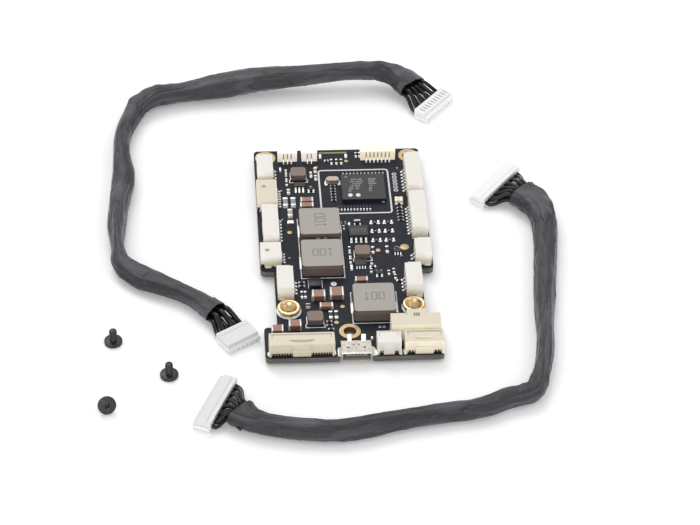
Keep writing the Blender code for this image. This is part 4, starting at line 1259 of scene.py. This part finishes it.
def small_chip(x, y, wide, deep, height, low, high, bodies, leads, lead=0.36):
    """Little package with leads below and above at the given places."""
    bodies.pad(x, y, wide / 2, deep / 2, 0.08, height, 0.06, 0.06)
    for s, places in ((-1, low), (1, high)):
        for px in places:
            leads.lead(px, y + s * (deep / 2 - 0.05), 0, s, lead, 0.75, 0.35)


def make_small_chips():
    bodies, leads = Parts("small_packages", EPOXY), Parts("small_package_leads", TIN)
    black = Parts("black_package", RESISTOR)
    small_chip(3.45, -6.0, 3.0, 2.4, 0.9, (2.4, 3.1, 3.8, 4.5), (2.4, 3.1, 3.8, 4.5), bodies, leads, 0.3)
    small_chip(3.6, 9.9, 2.2, 1.2, 0.8, (2.9, 4.3), (3.6,), bodies, leads)
    small_chip(13.0, -1.7, 2.0, 1.2, 0.8, (12.3, 13.0, 13.7), (12.3, 13.7), bodies, leads, 0.3)
    small_chip(7.8, -9.8, 1.8, 1.2, 0.8, (7.2, 8.4), (7.2, 8.4), bodies, leads, 0.45)
    small_chip(-8.3, -13.2, 3.0, 2.9, 0.9, (), (-9.4, -8.7, -8.0, -7.3), black, leads, 0.26)
    small_chip(-7.4, 23.4, 1.5, 1.2, 0.7, (-8.0, -6.8), (-7.4,), bodies, leads, 0.45)
    done(bodies, black)
    leads.slab(4.05, 4.6, -34.2, -33.5, 0, 1.0, 0.2)
    leads.ring(-3.7, -13.3, 0.34, 0.7, TOP - 0.01, TOP + 0.2, 28)
    leads.lathe([(0.2, TOP), (0.2, TOP + 0.25), (0.1, TOP + 0.35)], -3.7, -13.3, 20)
    for x in (3.05, 3.6, 4.15):
        leads.slab(x - 0.2, x + 0.2, 9.85, 10.3, 0.7, 0.86, 0.07)
    leads.done()


def make_silk():
    silk = Parts("silk_print", SILK)
    z0, z1 = TOP - 0.01, TOP + 0.02

    def line(points, width, closed=False):
        silk.ribbon(points, width, z0, z1, closed)

    line(rounded(-5.1, 12.8, 13.75, 31.15, 0.8), 0.42, True)
    line([(-3.0, 10.6), (-0.75, 10.6), (-0.75, -10.9), (-11.5, -10.9), (-11.5, 12.0)], 0.24)
    line([(1.5, -16.6), (0.2, -16.6), (0.2, -27.8), (11.0, -27.8)], 0.24)
    line([(11.0, -16.6), (11.4, -16.6), (11.4, -26.0)], 0.2)
    for x, y in SMALL_COILS:
        line([(x - 2.3, y - 1.2), (x - 2.3, y - 2.4), (x + 2.3, y - 2.4), (x + 2.3, y - 1.2)], 0.26)
    for x in (-9.95, -6.55):
        line([(x, -11.6), (x, -14.6)], 0.18)
    for x in (6.6, 7.6):
        line([(x - 0.3, -29.4), (x, -28.9), (x + 0.3, -29.4)], 0.14, True)
    for x in (9.15, 12.5):
        for y in (9.8, 6.4, 2.85):
            line([(x, y + 0.45), (x + 0.15, y + 1.0)], 0.12)
    for k in range(6):                                     # generic part outlines beside the right headers
        y = 22.6 + 1.3 * k
        line(rounded(13.95, 14.9, y - 0.44, y + 0.44, 0.3, 3), 0.2, True)
        line([(14.2, y - 0.15), (14.65, y + 0.15)], 0.14)
    line([(12.6, 0.6), (14.0, -0.1)], 0.12)
    line([(14.2, -3.0), (13.4, -3.4)], 0.12)
    for x, y in ((15.4, 31.6), (15.3, 16.0), (-15.3, 11.9), (-15.0, 23.4), (-14.2, -3.0), (11.9, -11.6)):
        silk.ring(x, y, 0.0001, 0.2, z0, z1, 16)
    silk.done(smooth=False)
    tabs = Parts("soldered_tabs", TIN)
    for x, y0, y1 in ((0.2, -24.3, -20.5), (11.05, -24.3, -20.5), (-11.45, -7.6, -2.8), (-0.9, -7.6, -2.8),
                      (-11.35, 4.6, 9.4)):
        tabs.slab(x - 0.35, x + 0.35, y0, y1, -0.01, 0.3, 0.1, 0.1)
    tabs.done()
    olive = Parts("bare_edge_strip", OLIVE)
    olive.slab(-4.5, 2.7, 38.1, 38.7, -0.01, 0.03, 0)
    olive.done(smooth=False)


def make_board():
    dress("circuit_board", MASK, drop=False, side=BOARD_EDGE)
    make_holes()
    make_silk()
    vias = Parts("via_lands", ceramic_look("tented_via", (0.085, 0.08, 0.072), (0.055, 0.052, 0.048)))
    for i in range(60):                                    # small plated vias, scattered but repeatable
        x = 19.0 * noise.noise(Vector((i * 3.17, 1.3, 0.2))) * 1.9
        y = 36.0 * noise.noise(Vector((0.7, i * 2.31, 5.2))) * 1.9
        if abs(x) < 17.4 and abs(y) < 35 and not (abs(x) > 16 and y < -8):
            vias.lathe([(0.12, TOP - 0.01), (0.12, TOP + 0.012), (0.07, TOP + 0.016)], x, y, 10)
    vias.done()


make_camera()
make_stage()
make_cables()
make_board()
make_tall_headers()
make_low_headers()
make_header_feet()
make_rear_header()
make_front_lines()
make_usb()
make_inserts()
make_screws()
make_inductors()
make_capacitors()
make_chips()
make_small_parts()
make_small_chips()
